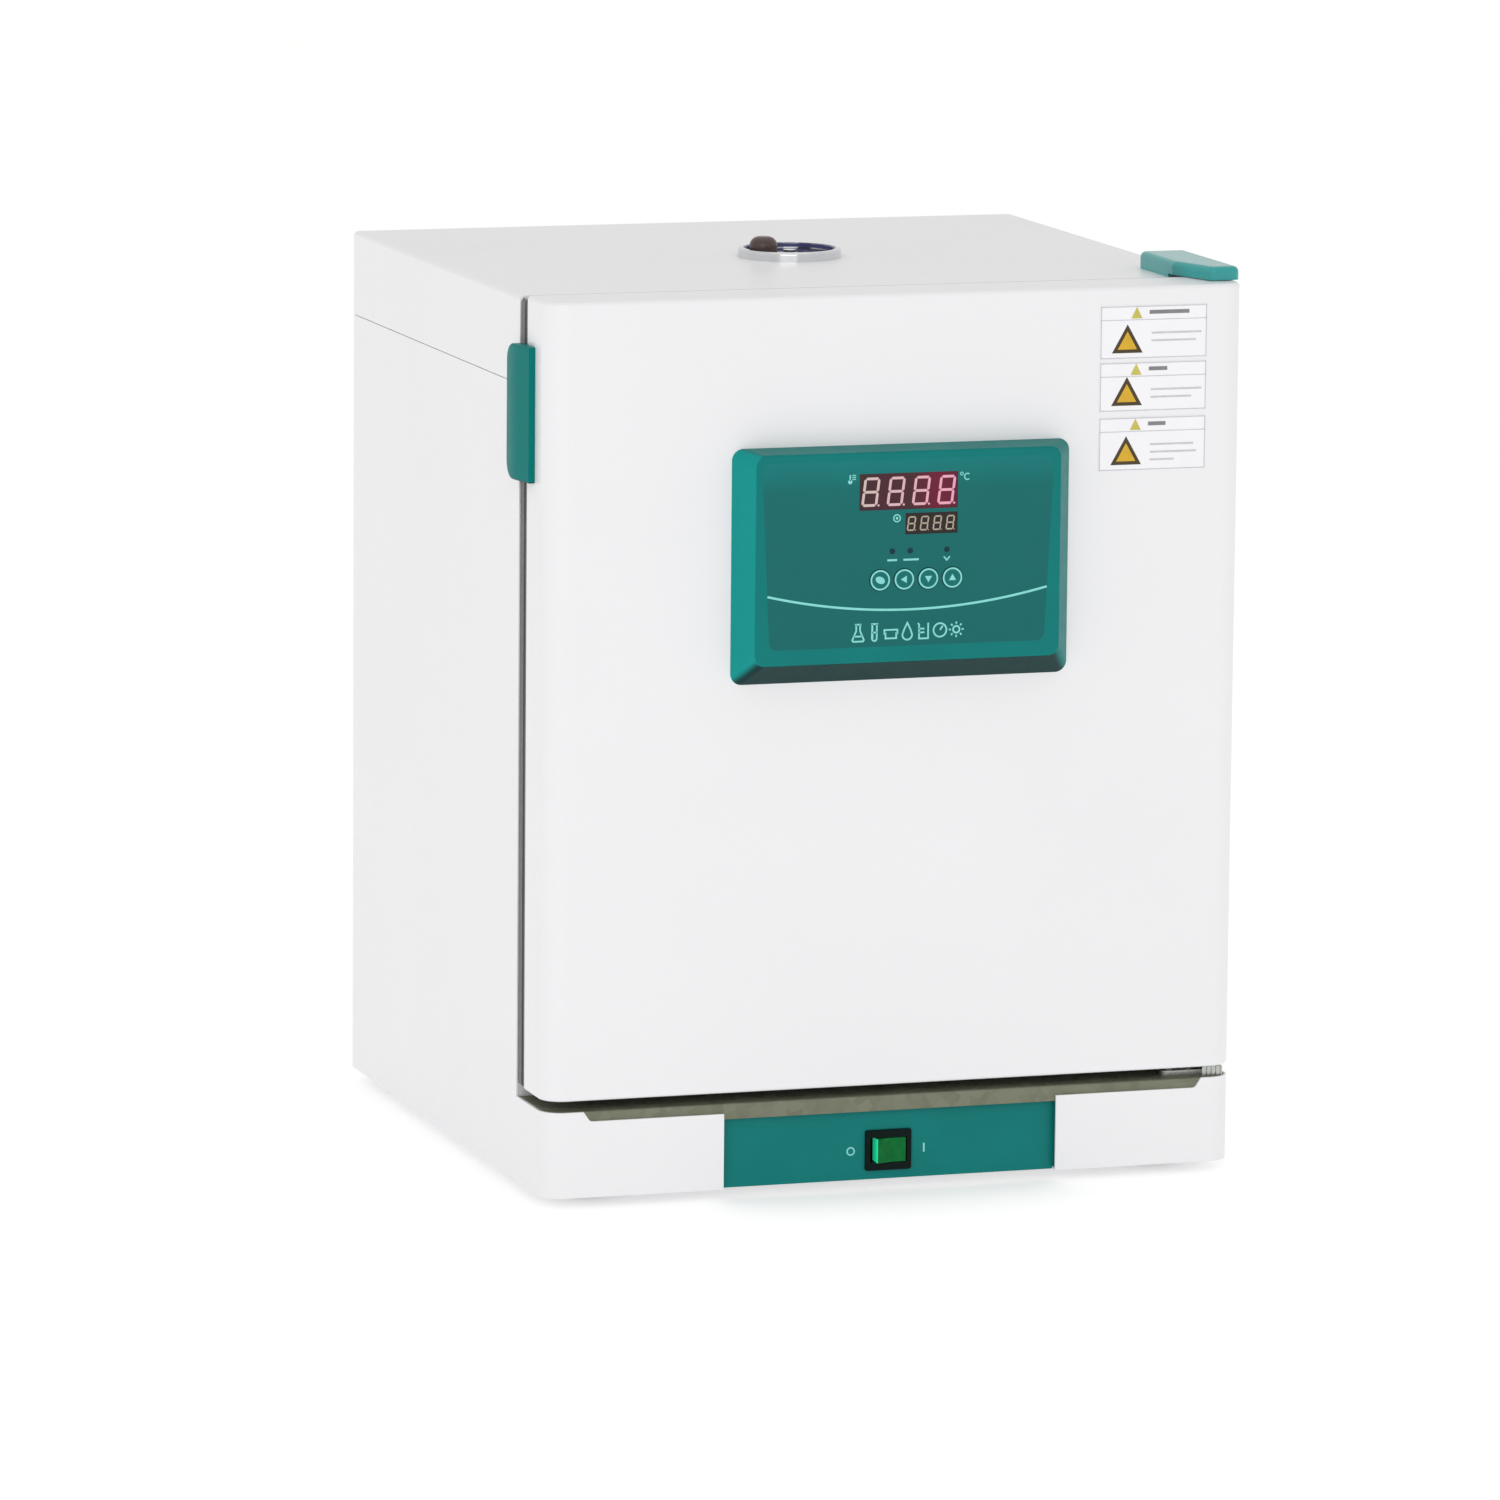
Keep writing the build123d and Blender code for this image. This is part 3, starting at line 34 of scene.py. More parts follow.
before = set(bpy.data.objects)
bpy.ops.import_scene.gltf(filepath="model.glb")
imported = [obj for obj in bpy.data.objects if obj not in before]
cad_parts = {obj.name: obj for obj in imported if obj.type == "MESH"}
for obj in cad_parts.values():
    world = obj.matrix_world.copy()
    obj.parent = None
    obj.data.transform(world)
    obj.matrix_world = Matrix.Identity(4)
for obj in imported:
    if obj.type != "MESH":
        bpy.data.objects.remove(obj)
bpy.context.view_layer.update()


# ---- Camera ------------------------------------------------------------------------------------
CAMERA_PLACE = Vector((-1532.4, -4643.9, 1003.7)) * MM
CAMERA_YAW = math.radians(18.026)
CAMERA_PITCH = math.radians(9.333)
CAMERA_ROLL = math.radians(0.499)
LENS = 227.33
SENSOR = 36.0


def add_camera():
    camera = bpy.data.objects.new("camera", bpy.data.cameras.new("camera"))
    bpy.context.scene.collection.objects.link(camera)
    forward = Vector((
        math.sin(CAMERA_YAW) * math.cos(CAMERA_PITCH),
        math.cos(CAMERA_YAW) * math.cos(CAMERA_PITCH),
        -math.sin(CAMERA_PITCH),
    ))
    right = Vector((math.cos(CAMERA_YAW), -math.sin(CAMERA_YAW), 0))
    up = right.cross(forward)
    level = Matrix((right, up, -forward)).transposed().to_4x4()
    roll = Matrix.Rotation(CAMERA_ROLL, 4, "Z")
    camera.matrix_world = Matrix.Translation(CAMERA_PLACE) @ level @ roll
    camera.data.lens = LENS
    camera.data.sensor_width = SENSOR
    camera.data.clip_end = 100
    bpy.context.scene.camera = camera


# ---- Node helpers ------------------------------------------------------------------------------
def srgb(red, green, blue):
    """Linear colour from 8-bit display values."""
    def linear(value):
        value /= 255
        return value / 12.92 if value <= 0.04045 else ((value + 0.055) / 1.055) ** 2.4

    return (linear(red), linear(green), linear(blue), 1)


def scaled(colour, factor):
    return tuple(min(1, c * factor) for c in colour[:3]) + (1,)


class Surface:
    """A Principled material whose colour, roughness and relief come from node textures."""

    def __init__(self, name):
        self.material = bpy.data.materials.new(name)
        self.material.use_nodes = True
        self.tree = self.material.node_tree
        self.shader = self.tree.nodes["Principled BSDF"]
        self.coords = self.node("ShaderNodeTexCoord").outputs["Object"]

    def node(self, kind, **settings):
        node = self.tree.nodes.new(kind)
        for key, value in settings.items():
            setattr(node, key, value)
        return node

    def link(self, output, target):
        self.tree.links.new(output, target)

    def set(self, **values):
        for key, value in values.items():
            self.shader.inputs[key.replace("_", " ")].default_value = value

    def stretched(self, x, y, z):
        """Object coordinates scaled by a factor for each axis."""
        mapping = self.node("ShaderNodeMapping")
        mapping.inputs["Scale"].default_value = (x, y, z)
        self.link(self.coords, mapping.inputs["Vector"])
        return mapping.outputs["Vector"]

    def noise(self, scale, detail=2.0, vector=None, rough=0.5):
        noise = self.node("ShaderNodeTexNoise")
        noise.inputs["Scale"].default_value = scale
        noise.inputs["Detail"].default_value = detail
        noise.inputs["Roughness"].default_value = rough
        self.link(vector or self.coords, noise.inputs["Vector"])
        return noise.outputs["Fac"]

    def cells(self, scale, feature="F1", output="Distance"):
        cells = self.node("ShaderNodeTexVoronoi", feature=feature)
        cells.inputs["Scale"].default_value = scale
        self.link(self.coords, cells.inputs["Vector"])
        return cells.outputs[output]

    def ramp(self, factor, stops):
        """Colours at positions from 0 to 1."""
        ramp = self.node("ShaderNodeValToRGB").color_ramp
        while len(ramp.elements) < len(stops):
            ramp.elements.new(0.5)
        for element, (position, colour) in zip(ramp.elements, stops):
            element.position = position
            element.color = colour
        node = self.tree.nodes[-1]
        self.link(factor, node.inputs["Fac"])
        return node.outputs["Color"]

    def spread(self, factor, low, high):
        """A texture value turned into the range low to high."""
        mapped = self.node("ShaderNodeMapRange")
        mapped.inputs["From Min"].default_value = 0.3
        mapped.inputs["From Max"].default_value = 0.7
        mapped.inputs["To Min"].default_value = low
        mapped.inputs["To Max"].default_value = high
        self.link(factor, mapped.inputs["Value"])
        return mapped.outputs["Result"]

    def mix(self, factor, first, second, blend="MIX"):
        mix = self.node("ShaderNodeMix", data_type="RGBA", blend_type=blend)
        for socket, value in ((mix.inputs[0], factor), (mix.inputs[6], first), (mix.inputs[7], second)):
            if isinstance(value, bpy.types.NodeSocket):
                self.link(value, socket)
            else:
                socket.default_value = value
        return mix.outputs[2]

    def colour(self, output):
        self.link(output, self.shader.inputs["Base Color"])

    def roughness(self, output):
        self.link(output, self.shader.inputs["Roughness"])

    def bump(self, height, distance, strength=1.0):
        """Relief of that many millimetres; more than one call adds up."""
        bump = self.node("ShaderNodeBump")
        bump.inputs["Distance"].default_value = distance * MM
        bump.inputs["Strength"].default_value = strength
        self.link(height, bump.inputs["Height"])
        normal = self.shader.inputs["Normal"]
        if normal.is_linked:
            self.link(normal.links[0].from_socket, bump.inputs["Normal"])
        self.link(bump.outputs["Normal"], normal)

    def axis(self, which, low, high):
        """How far along an axis a point lies between two limits in millimetres, from 0 to 1."""
        parts = self.node("ShaderNodeSeparateXYZ")
        self.link(self.coords, parts.inputs["Vector"])
        mapped = self.node("ShaderNodeMapRange")
        mapped.inputs["From Min"].default_value = low * MM
        mapped.inputs["From Max"].default_value = high * MM
        self.link(parts.outputs[which], mapped.inputs["Value"])
        return mapped.outputs["Result"]

    def facing(self, direction, low, high):
        """How far a surface leans towards a direction of its part, from 0 to 1, in any pose."""
        dot = self.node("ShaderNodeVectorMath", operation="DOT_PRODUCT")
        dot.inputs[1].default_value = direction
        self.link(self.node("ShaderNodeTexCoord").outputs["Normal"], dot.inputs[0])
        mapped = self.node("ShaderNodeMapRange", interpolation_type="SMOOTHSTEP")
        mapped.inputs["From Min"].default_value = low
        mapped.inputs["From Max"].default_value = high
        self.link(dot.outputs["Value"], mapped.inputs["Value"])
        return mapped.outputs["Result"]


def plain(name, colour, roughness, variation=0.04, grain=60.0, relief=0.0, relief_scale=900.0, **sockets):
    """Colour that drifts slightly, uneven gloss, and a fine relief if one is given."""
    surface = Surface(name)
    drift = surface.noise(grain, 4)
    stops = ((0.3, scaled(colour, 1 - variation)), (0.7, scaled(colour, 1 + variation)))
    surface.colour(surface.ramp(drift, stops))
    gloss = surface.noise(grain * 3, 3)
    surface.roughness(surface.spread(gloss, roughness * 0.88, min(1, roughness * 1.12)))
    if relief:
        surface.bump(surface.noise(relief_scale, 3), relief)
    surface.set(**sockets)
    return surface


def brushed(name, colour, roughness, along="x", depth=0.012):
    """Brushed sheet metal, with its fine lines running along an axis."""
    surface = Surface(name)
    scale = {"x": (14, 900, 900), "y": (900, 14, 900), "z": (900, 900, 14)}[along]
    lines = surface.noise(1.0, 6, surface.stretched(*scale), 0.6)
    stops = ((0.3, scaled(colour, 0.9)), (0.7, scaled(colour, 1.08)))
    surface.colour(surface.ramp(lines, stops))
    surface.roughness(surface.spread(lines, roughness * 0.8, roughness * 1.25))
    surface.bump(lines, depth, 0.6)
    surface.set(Metallic=1.0)
    return surface


# ---- Materials, one for each slot of the record --------------------------------------------------
WHITE = srgb(236, 236, 238)
TEAL = srgb(5, 119, 115)
FILM = srgb(2, 104, 102)
PRINT_TEAL = srgb(128, 214, 208)


def powder_coat(name, colour):
    """Satin powder coat: faint orange peel, with specks of finer texture in the gloss."""
    surface = Surface(name)
    drift = surface.noise(9, 3)
    surface.colour(surface.ramp(drift, ((0.3, scaled(colour, 0.985)), (0.7, colour))))
    peel = surface.noise(420, 2)
    surface.roughness(surface.spread(surface.noise(160, 4), 0.30, 0.40))
    surface.bump(peel, 0.010)
    surface.bump(surface.noise(2400, 2), 0.0025)
    surface.set(Coat_Weight=0.12, Coat_Roughness=0.22)
    return surface


def galvanised():
    """Zinc spangle on a dull sheet."""
    surface = Surface("galvanised")
    spangle = surface.cells(170, output="Color")
    dull = surface.ramp(spangle, ((0.2, srgb(108, 111, 92)), (0.8, srgb(122, 125, 106))))
    cloud = surface.noise(35, 4)
    surface.colour(surface.mix(surface.spread(cloud, 0.0, 0.3), dull, srgb(134, 136, 118)))
    surface.roughness(surface.spread(surface.noise(300, 3), 0.38, 0.58))
    surface.bump(surface.noise(500, 4), 0.02)
    surface.set(Metallic=0.3, Specular_IOR_Level=0.3)
    return surface


def moulded_teal(name="teal_plastic", left=1.0, level=0.14):
    """Satin ABS, with painted shade where it leans towards the table and a painted highlight on faces that
    lean to the left.
    """
    surface = Surface(name)
    drift = surface.noise(28, 4)
    body = surface.ramp(drift, ((0.3, scaled(TEAL, 0.94)), (0.7, scaled(TEAL, 1.05))))
    # Painted shade: faces leaning down are mixed towards a dark teal.
    painted_shade_under = surface.facing((0, 0, -1), 0.25, 0.62)
    # Painted highlight: faces turned left take the teal scaled by left.
    painted_highlight_left = surface.facing((-1, 0, 0), 0.1, 0.5)
    body = surface.mix(painted_highlight_left, body, scaled(TEAL, left))
    surface.colour(surface.mix(painted_shade_under, body, srgb(5, 50, 50)))
    surface.roughness(surface.spread(surface.noise(140, 3), 0.28, 0.36))
    surface.bump(surface.noise(1500, 3), 0.003)
    surface.set(Specular_IOR_Level=level)
    return surface


def printed_film():
    """Polyester film with a very fine texture, and a painted reflection that makes it slightly lighter
    towards its upper edge.
    """
    surface = Surface("teal_film")
    low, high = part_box("control_film")
    height = surface.axis("Z", low.z / MM, high.z / MM)
    # Painted reflection: lighter towards the upper edge, a little darker at the bottom.
    painted_reflection_tone = ((0.0, scaled(FILM, 0.92)), (0.84, FILM), (0.92, scaled(FILM, 1.2)), (1.0, scaled(FILM, 1.35)))
    surface.colour(surface.mix(surface.spread(surface.noise(45, 3), 0.0, 0.12),
                               surface.ramp(height, painted_reflection_tone), scaled(FILM, 0.75)))
    surface.roughness(surface.spread(surface.noise(700, 2), 0.30, 0.38))
    surface.bump(surface.noise(2600, 2), 0.004)
    surface.set(Specular_IOR_Level=0.22)
    return surface


def display_window():
    """Smoked epoxy with a painted red glow: the main window has more red in it towards its right, the small
    one none.
    """
    surface = Surface("display_black")
    low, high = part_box("main_display")
    along = surface.axis("X", low.x / MM, high.x / MM)
    # Painted glow: red that grows towards the right of the main window.
    tint = surface.ramp(along, (
        (0.0, srgb(62, 42, 42)), (0.3, srgb(76, 34, 48)), (0.52, srgb(72, 38, 44)),
        (0.8, srgb(112, 22, 50)), (1.0, srgb(94, 26, 46)),
    ))
    below = surface.axis("Z", low.z / MM, low.z / MM - 0.5)
    tint = surface.mix(below, tint, srgb(42, 36, 32))
    surface.colour(surface.mix(surface.spread(surface.noise(200, 3), 0, 0.2), tint, srgb(46, 34, 34)))
    surface.roughness(surface.spread(surface.noise(500, 2), 0.14, 0.22))
    surface.set(Specular_IOR_Level=0.2)
    return surface


def lit_rocker():
    """Green translucent cap lit from inside, with a painted highlight on its side that faces left, in both
    its colour and its emission.
    """
    surface = Surface("rocker_green")
    # Painted highlight: the side facing left turns bright green.
    side = surface.facing((-1, 0, 0), 0.35, 0.85)
    depth = surface.noise(260, 3)
    front = surface.ramp(depth, ((0.3, srgb(0, 84, 34)), (0.7, srgb(0, 104, 44))))
    surface.colour(surface.mix(side, front, srgb(34, 214, 152)))
    glow = surface.mix(side, srgb(0, 56, 22), srgb(34, 214, 152))
    surface.link(glow, surface.shader.inputs["Emission Color"])
    surface.set(Emission_Strength=0.5, Specular_IOR_Level=0.12)
    surface.roughness(surface.spread(surface.noise(400, 2), 0.16, 0.24))
    return surface


def mineral_wool():
    surface = Surface("insulation")
    fibres = surface.noise(900, 6, surface.stretched(1, 3, 5), 0.7)
    surface.colour(surface.ramp(fibres, ((0.3, srgb(196, 184, 150)), (0.7, srgb(232, 226, 204)))))
    surface.bump(fibres, 0.6)
    surface.set(Roughness=0.95, Sheen_Weight=0.3, Sheen_Roughness=0.6)
    return surface


def clear(name, tint, roughness):
    surface = Surface(name)
    haze = surface.noise(22, 4)
    surface.colour(surface.ramp(haze, ((0.3, scaled(tint, 0.98)), (0.7, tint))))
    surface.roughness(surface.spread(surface.noise(60, 3), roughness * 0.6, roughness * 1.4))
    surface.set(Transmission_Weight=1.0, IOR=1.5)
    return surface


def heater_tube():
    """Stainless tube with straw and blue heat tint."""
    surface = Surface("heater_steel")
    tint = surface.noise(30, 3)
    surface.colour(surface.ramp(tint, (
        (0.3, srgb(116, 108, 98)), (0.5, srgb(140, 122, 92)), (0.7, srgb(96, 98, 112)),
    )))
    surface.roughness(surface.spread(surface.noise(300, 3), 0.3, 0.48))
    surface.set(Metallic=1.0)
    return surface


def circuit_board():
    """Solder mask over copper tracks."""
    surface = Surface("board_green")
    tracks = surface.node("ShaderNodeTexBrick")
    tracks.inputs["Scale"].default_value = 140
    tracks.inputs["Mortar Size"].default_value = 0.03
    surface.link(surface.stretched(1, 1, 1.6), tracks.inputs["Vector"])
    edge = tracks.outputs["Fac"]
    surface.colour(surface.mix(edge, srgb(8, 78, 44), srgb(24, 116, 66)))
    surface.bump(edge, 0.03)
    surface.set(Roughness=0.3, Coat_Weight=0.3, Coat_Roughness=0.15)
    return surface


def laminated(name, colour):
    """Transformer laminations: thin steel leaves on edge."""
    surface = Surface(name)
    leaves = surface.node("ShaderNodeTexWave", wave_type="BANDS", bands_direction="Y")
    leaves.inputs["Scale"].default_value = 320
    leaves.inputs["Distortion"].default_value = 0.4
    surface.link(surface.coords, leaves.inputs["Vector"])
    stripes = leaves.outputs["Fac"]
    surface.colour(surface.ramp(stripes, ((0.2, scaled(colour, 0.55)), (0.8, scaled(colour, 1.15)))))
    surface.bump(stripes, 0.08)
    surface.set(Metallic=0.6, Roughness=0.5)
    return surface


def build_materials():
    made = {
        "white_paint": powder_coat("white_paint", WHITE),
        "galvanised": galvanised(),
        "stainless": brushed("stainless", srgb(196, 197, 196), 0.30, "z"),
        "wire_steel": plain("wire_steel", srgb(205, 206, 208), 0.16, grain=120, relief=0.01, Metallic=1.0),
        "bright_chrome": plain("bright_chrome", srgb(214, 216, 218), 0.10, grain=90, relief=0.004,
                               Metallic=1.0),
        "plated_steel": plain("plated_steel", srgb(186, 188, 184), 0.28, grain=200, relief=0.012,
                              Metallic=1.0),
        "teal_plastic": moulded_teal(),
        "teal_film": printed_film(),
        "teal_key": plain("teal_key", scaled(FILM, 1.04), 0.32, grain=300, relief=0.004, relief_scale=2600,
                          Specular_IOR_Level=0.22),
        "seal_grey": plain("seal_grey", srgb(104, 104, 106), 0.62, grain=90, relief=0.03, relief_scale=700),
        "insulation": mineral_wool(),
        "black_plastic": plain("black_plastic", srgb(4, 20, 18), 0.36, 0.1, grain=120, relief=0.01,
                               Specular_IOR_Level=0.1),
        "rocker_green": lit_rocker(),
        "display_black": display_window(),
        "lamp": plain("lamp", srgb(3, 48, 58), 0.18, 0.1, grain=300, relief=0.01, Specular_IOR_Level=0.2),
        "board_green": circuit_board(),
        "label_paper": plain("label_paper", srgb(241, 240, 243), 0.42, 0.012, grain=80, relief=0.004),
        "glass": clear("glass", srgb(238, 247, 244), 0.02),
        "silicone": plain("silicone", srgb(214, 210, 204), 0.5, grain=60, relief=0.02,
                          Subsurface_Weight=0.15),
        # Painted reflection: the blue in the vent stands in for a dark blue reflection inside its chrome
        # dish.
        "lining_blue": plain("lining_blue", srgb(58, 58, 108), 0.3, 0.1, grain=60, relief=0.01),
        "knob_brown": plain("knob_brown", srgb(74, 56, 52), 0.3, 0.12, grain=140, relief=0.012),
        "rubber_black": plain("rubber_black", srgb(28, 28, 29), 0.75, 0.08, grain=120, relief=0.05),
        "heater_steel": heater_tube(),
        "transformer_iron": laminated("transformer_iron", srgb(116, 112, 108)),
        "terminal_grey": plain("terminal_grey", srgb(196, 196, 188), 0.45, 0.05, grain=90, relief=0.02),
        "bronze": plain("bronze", srgb(182, 138, 84), 0.34, 0.06, grain=160, relief=0.02, Metallic=1.0),
    }
    prints = {
        "print_teal": plain("print_teal", PRINT_TEAL, 0.4, 0.05, grain=260, relief=0.004),
        "print_grey": plain("print_grey", srgb(198, 197, 203), 0.5, 0.06, grain=260, relief=0.004),
        "print_dark": plain("print_dark", srgb(128, 126, 132), 0.5, 0.08, grain=260, relief=0.004),
        "print_black": plain("print_black", srgb(66, 50, 14), 0.5, 0.12, grain=260, relief=0.004),
        "print_yellow": plain("print_yellow", srgb(212, 166, 28), 0.45, 0.07, grain=120, relief=0.004),
        "print_straw": plain("print_straw", srgb(196, 186, 86), 0.45, 0.07, grain=120, relief=0.004),
        "segment": segment_light(),
        "segment_small": plain("segment_small", srgb(176, 164, 146), 0.35, 0.05, grain=300, relief=0.004),
        # A stronger painted highlight on the bezel's faces turned left.
        "bezel_teal": moulded_teal("bezel_teal", left=1.55),
        "grip_teal": moulded_teal("grip_teal", level=0.05),
        "glossy_teal": plain("glossy_teal", srgb(42, 156, 154), 0.16, 0.04, grain=60, relief=0.002),
    }
    return {name: surface.material for name, surface in {**made, **prints}.items()}


def segment_light():
    """White display segments behind red film, with a painted glow that makes them pinker towards the right.
    """
    surface = Surface("segment")
    low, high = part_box("main_display")
    along = surface.axis("X", low.x / MM, high.x / MM)
    # Painted glow: pinker towards the right of the main window.
    surface.colour(surface.ramp(along, (
        (0.0, srgb(204, 184, 178)), (0.35, srgb(216, 176, 182)),
        (0.65, srgb(226, 168, 180)), (1.0, srgb(232, 158, 188)),
    )))
    surface.roughness(surface.spread(surface.noise(300, 2), 0.34, 0.42))
    return surface


# ---- Mesh helpers ------------------------------------------------------------------------------
def finish_piece(name, mesh, material, body):
    piece = bpy.data.objects.new(name, mesh)
    bpy.context.scene.collection.objects.link(piece)
    mesh.materials.append(material)
    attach(piece, body)
    return piece


def printed(name, outlines, y, thick, material, body):
    """Thin solid prints: each outline in (x, z) stands on the plane y towards the viewer."""
    work = bmesh.new()
    for outline in outlines:
        back = [work.verts.new((x * MM, y * MM, z * MM)) for x, z in outline]
        front = [work.verts.new((x * MM, (y - thick) * MM, z * MM)) for x, z in outline]
        work.faces.new(front)
        work.faces.new(reversed(back))
        for first, second in zip(range(len(outline)), range(-1, len(outline) - 1)):
            work.faces.new((front[first], front[second], back[second], back[first]))
    bmesh.ops.recalc_face_normals(work, faces=work.faces)
    mesh = bpy.data.meshes.new(name)
    work.to_mesh(mesh)
    work.free()
    return finish_piece(name, mesh, material, body)


def stroke(points, width, closed=False):
    """Quads that follow a line with mitred corners, as separate outlines that share their ends."""
    count = len(points)
    left = []
    right = []
    for index, (x, z) in enumerate(points):
        before = points[index - 1] if closed or index else None
        after = points[(index + 1) % count] if closed or index < count - 1 else None
        steps = []
        if before:
            steps.append(Vector((x - before[0], z - before[1])).normalized())
        if after:
            steps.append(Vector((after[0] - x, after[1] - z)).normalized())
        along = sum(steps, Vector((0, 0))).normalized()
        side = Vector((-along.y, along.x))
        reach = width / 2
        if len(steps) == 2:
            reach /= max(0.35, math.sqrt((1 + steps[0].dot(steps[1])) / 2))
        left.append((x + side.x * reach, z + side.y * reach))
        right.append((x - side.x * reach, z - side.y * reach))
    spans = range(count if closed else count - 1)
    return [[left[i], left[(i + 1) % count], right[(i + 1) % count], right[i]] for i in spans]


def arc(x, z, radius, start=0.0, end=360.0, steps=48):
    span = math.radians(end - start)
    first = math.radians(start)
    return [
        (x + radius * math.cos(first + span * i / steps), z + radius * math.sin(first + span * i / steps))
        for i in range(steps + (end - start < 360))
    ]


def oblong(x0, x1, z0, z1):
    return [(x0, z0), (x1, z0), (x1, z1), (x0, z1)]


def triangle(x, z, width, height):
    """An upright triangle from the middle of its base."""
    return [(x - width / 2, z), (x + width / 2, z), (x, z + height)]


# ---- Display digits ------------------------------------------------------------------------------
DIGIT_SLANT = math.tan(math.radians(7))


def digit(x, z, width, height, line):
    """A figure eight of seven segments, whose lower left corner is (x, z), leaning to the right."""
    gap = line * 0.10
    half = line / 2
    left, right = half, width - half
    low, middle, high = half, height / 2, height - half
    shapes = []
    for level in (low, middle, high):
        a, b = left + gap, right - gap
        shapes.append([
            (a, level), (a + half, level - half), (b - half, level - half),
            (b, level), (b - half, level + half), (a + half, level + half),
        ])
    for side in (left, right):
        for base, top in ((low, middle), (middle, high)):
            a, b = base + gap, top - gap
            shapes.append([
                (side, a), (side + half, a + half), (side + half, b - half),
                (side, b), (side - half, b - half), (side - half, a + half),
            ])
    return [[(x + u + v * DIGIT_SLANT, z + v) for u, v in shape] for shape in shapes]


def digits(node, material, height, width, pitch, line, inset, name):
    """Four digits with their decimal points on a display's window."""
    low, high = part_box(node)
    y = low.y / MM
    z = (low.z + high.z) / 2 / MM - height / 2
    outlines = []
    for place in range(4):
        x = low.x / MM + inset + place * pitch
        outlines += digit(x, z, width, height, line)
        dot = arc(x + width + line * 0.55, z + line * 0.42, line * 0.42, steps=12)
        outlines.append(dot)
    printed(name, outlines, y, 0.05, material, "door")


# ---- Prints on the control film --------------------------------------------------------------------
PRINT_T = 0.04
RING_R = 4.75
RING_LINE = 0.85


def key_marks(materials):
    """A ring and a symbol on each key, which move with it."""
    symbols = {
        "set_key": [arc(0, 0, 2.1, steps=20)],
        "shift_key": [[(-1.9, 0), (1.3, -1.9), (1.3, 1.9)]],
        "down_key": [[(0, -1.9), (1.9, 1.3), (-1.9, 1.3)]],
        "up_key": [triangle(0, -1.3, 3.8, 3.2)],
    }
    for name, shapes in symbols.items():
        low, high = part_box(name)
        x = (low.x + high.x) / 2 / MM
        z = (low.z + high.z) / 2 / MM
        outlines = [[(x + u, z + v) for u, v in shape] for shape in shapes]
        if name == "set_key":
            outlines = [[(x + u * 1.15 + v * 0.25, z + v * 0.8 - u * 0.45) for u, v in shapes[0]]]
        outlines += stroke(arc(x, z, RING_R), RING_LINE, closed=True)
        printed(f"{name}_mark", outlines, low.y / MM, PRINT_T, materials["print_teal"], name)


def film_graphics(materials):
    """The swept line, the row of labware symbols and the small marks beside displays and lamps."""
    low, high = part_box("control_film")
    y = low.y / MM
    middle = (low.x + high.x) / 2 / MM
    base = low.z / MM
    sweep_half = 74.2
    sweep_low = base + 18.4
    sweep_rise = 9.0
    steps = 60
    line = [
        (middle + sweep_half * t, sweep_low + sweep_rise * t * t)
        for t in (2 * i / steps - 1 for i in range(steps + 1))
    ]
    outlines = stroke(line, 1.15)
    printed("swept_line", outlines, y, PRINT_T, materials["print_teal"], "door")

    symbols = []
    pitch = 8.7
    height = 8.6
    icons = (flask_icon, tube_icon, dish_icon, drop_icon, beaker_icon, gauge_icon, sun_icon)
    for place, icon in enumerate(icons):
        x = middle + (place - (len(icons) - 1) / 2) * pitch
        for points, closed in icon():
            shape = [(x + u * height, base + 3.0 + v * height) for u, v in points]
            symbols += stroke(shape, 0.85, closed)
    printed("labware_row", symbols, y, PRINT_T, materials["print_teal"], "door")

    marks = []
    for place, (left, right) in zip(lamp_places(), ((-2.6, 2.6), (-3.6, 4.6), (None, None))):
        x, z = place
        if left is None:
            marks += stroke([(x - 1.6, z - 3.6), (x, z - 5.4), (x + 1.6, z - 3.6)], 0.7)
        else:
            marks.append(oblong(x + left, x + right, z - 5.0, z - 4.0))
    main_low, main_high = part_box("main_display")
    set_low, set_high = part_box("set_display")
    marks += reading_mark(main_low.x / MM - 6.2, main_high.z / MM - 4.6, filled=True)
    marks += reading_mark(set_low.x / MM - 6.6, set_high.z / MM - 4.6, filled=False)
    x = main_high.x / MM + 2.0
    z = main_high.z / MM - 1.4
    marks += stroke(arc(x, z, 0.75, steps=16), 0.4, closed=True)
    marks += stroke(arc(x + 3.0, z - 1.5, 1.55, 50, 310, 20), 0.6)
    printed("small_marks", marks, y, PRINT_T, materials["print_teal"], "door")


def lamp_places():
    """Centres of the three lamps, from the lamps' node, with the middle one at a fixed share of the way
    from the first to the last.
    """
    low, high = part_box("indicator_lamps")
    z = (low.z + high.z) / 2 / MM
    radius = (high.z - low.z) / 2 / MM
    first = low.x / MM + radius
    last = high.x / MM - radius
    second = first + (last - first) * 0.3276
    return ((first, z), (second, z), (last, z))


def reading_mark(x, z, filled):
    """A thermometer beside the measured value, a target beside the set value."""
    if filled:
        bulb = arc(x + 1.2, z + 0.9, 1.15, steps=18)
        stem = oblong(x + 0.8, x + 1.6, z + 1.4, z + 4.4)
        ticks = [oblong(x + 2.3, x + 4.2, z + level, z + level + 0.5) for level in (1.9, 2.9, 3.9)]
        return [bulb, stem, *ticks]
    ring = stroke(arc(x + 2.1, z + 2.2, 1.75, steps=24), 0.6, closed=True)
    return [*ring, arc(x + 2.1, z + 2.2, 0.7, steps=14)]


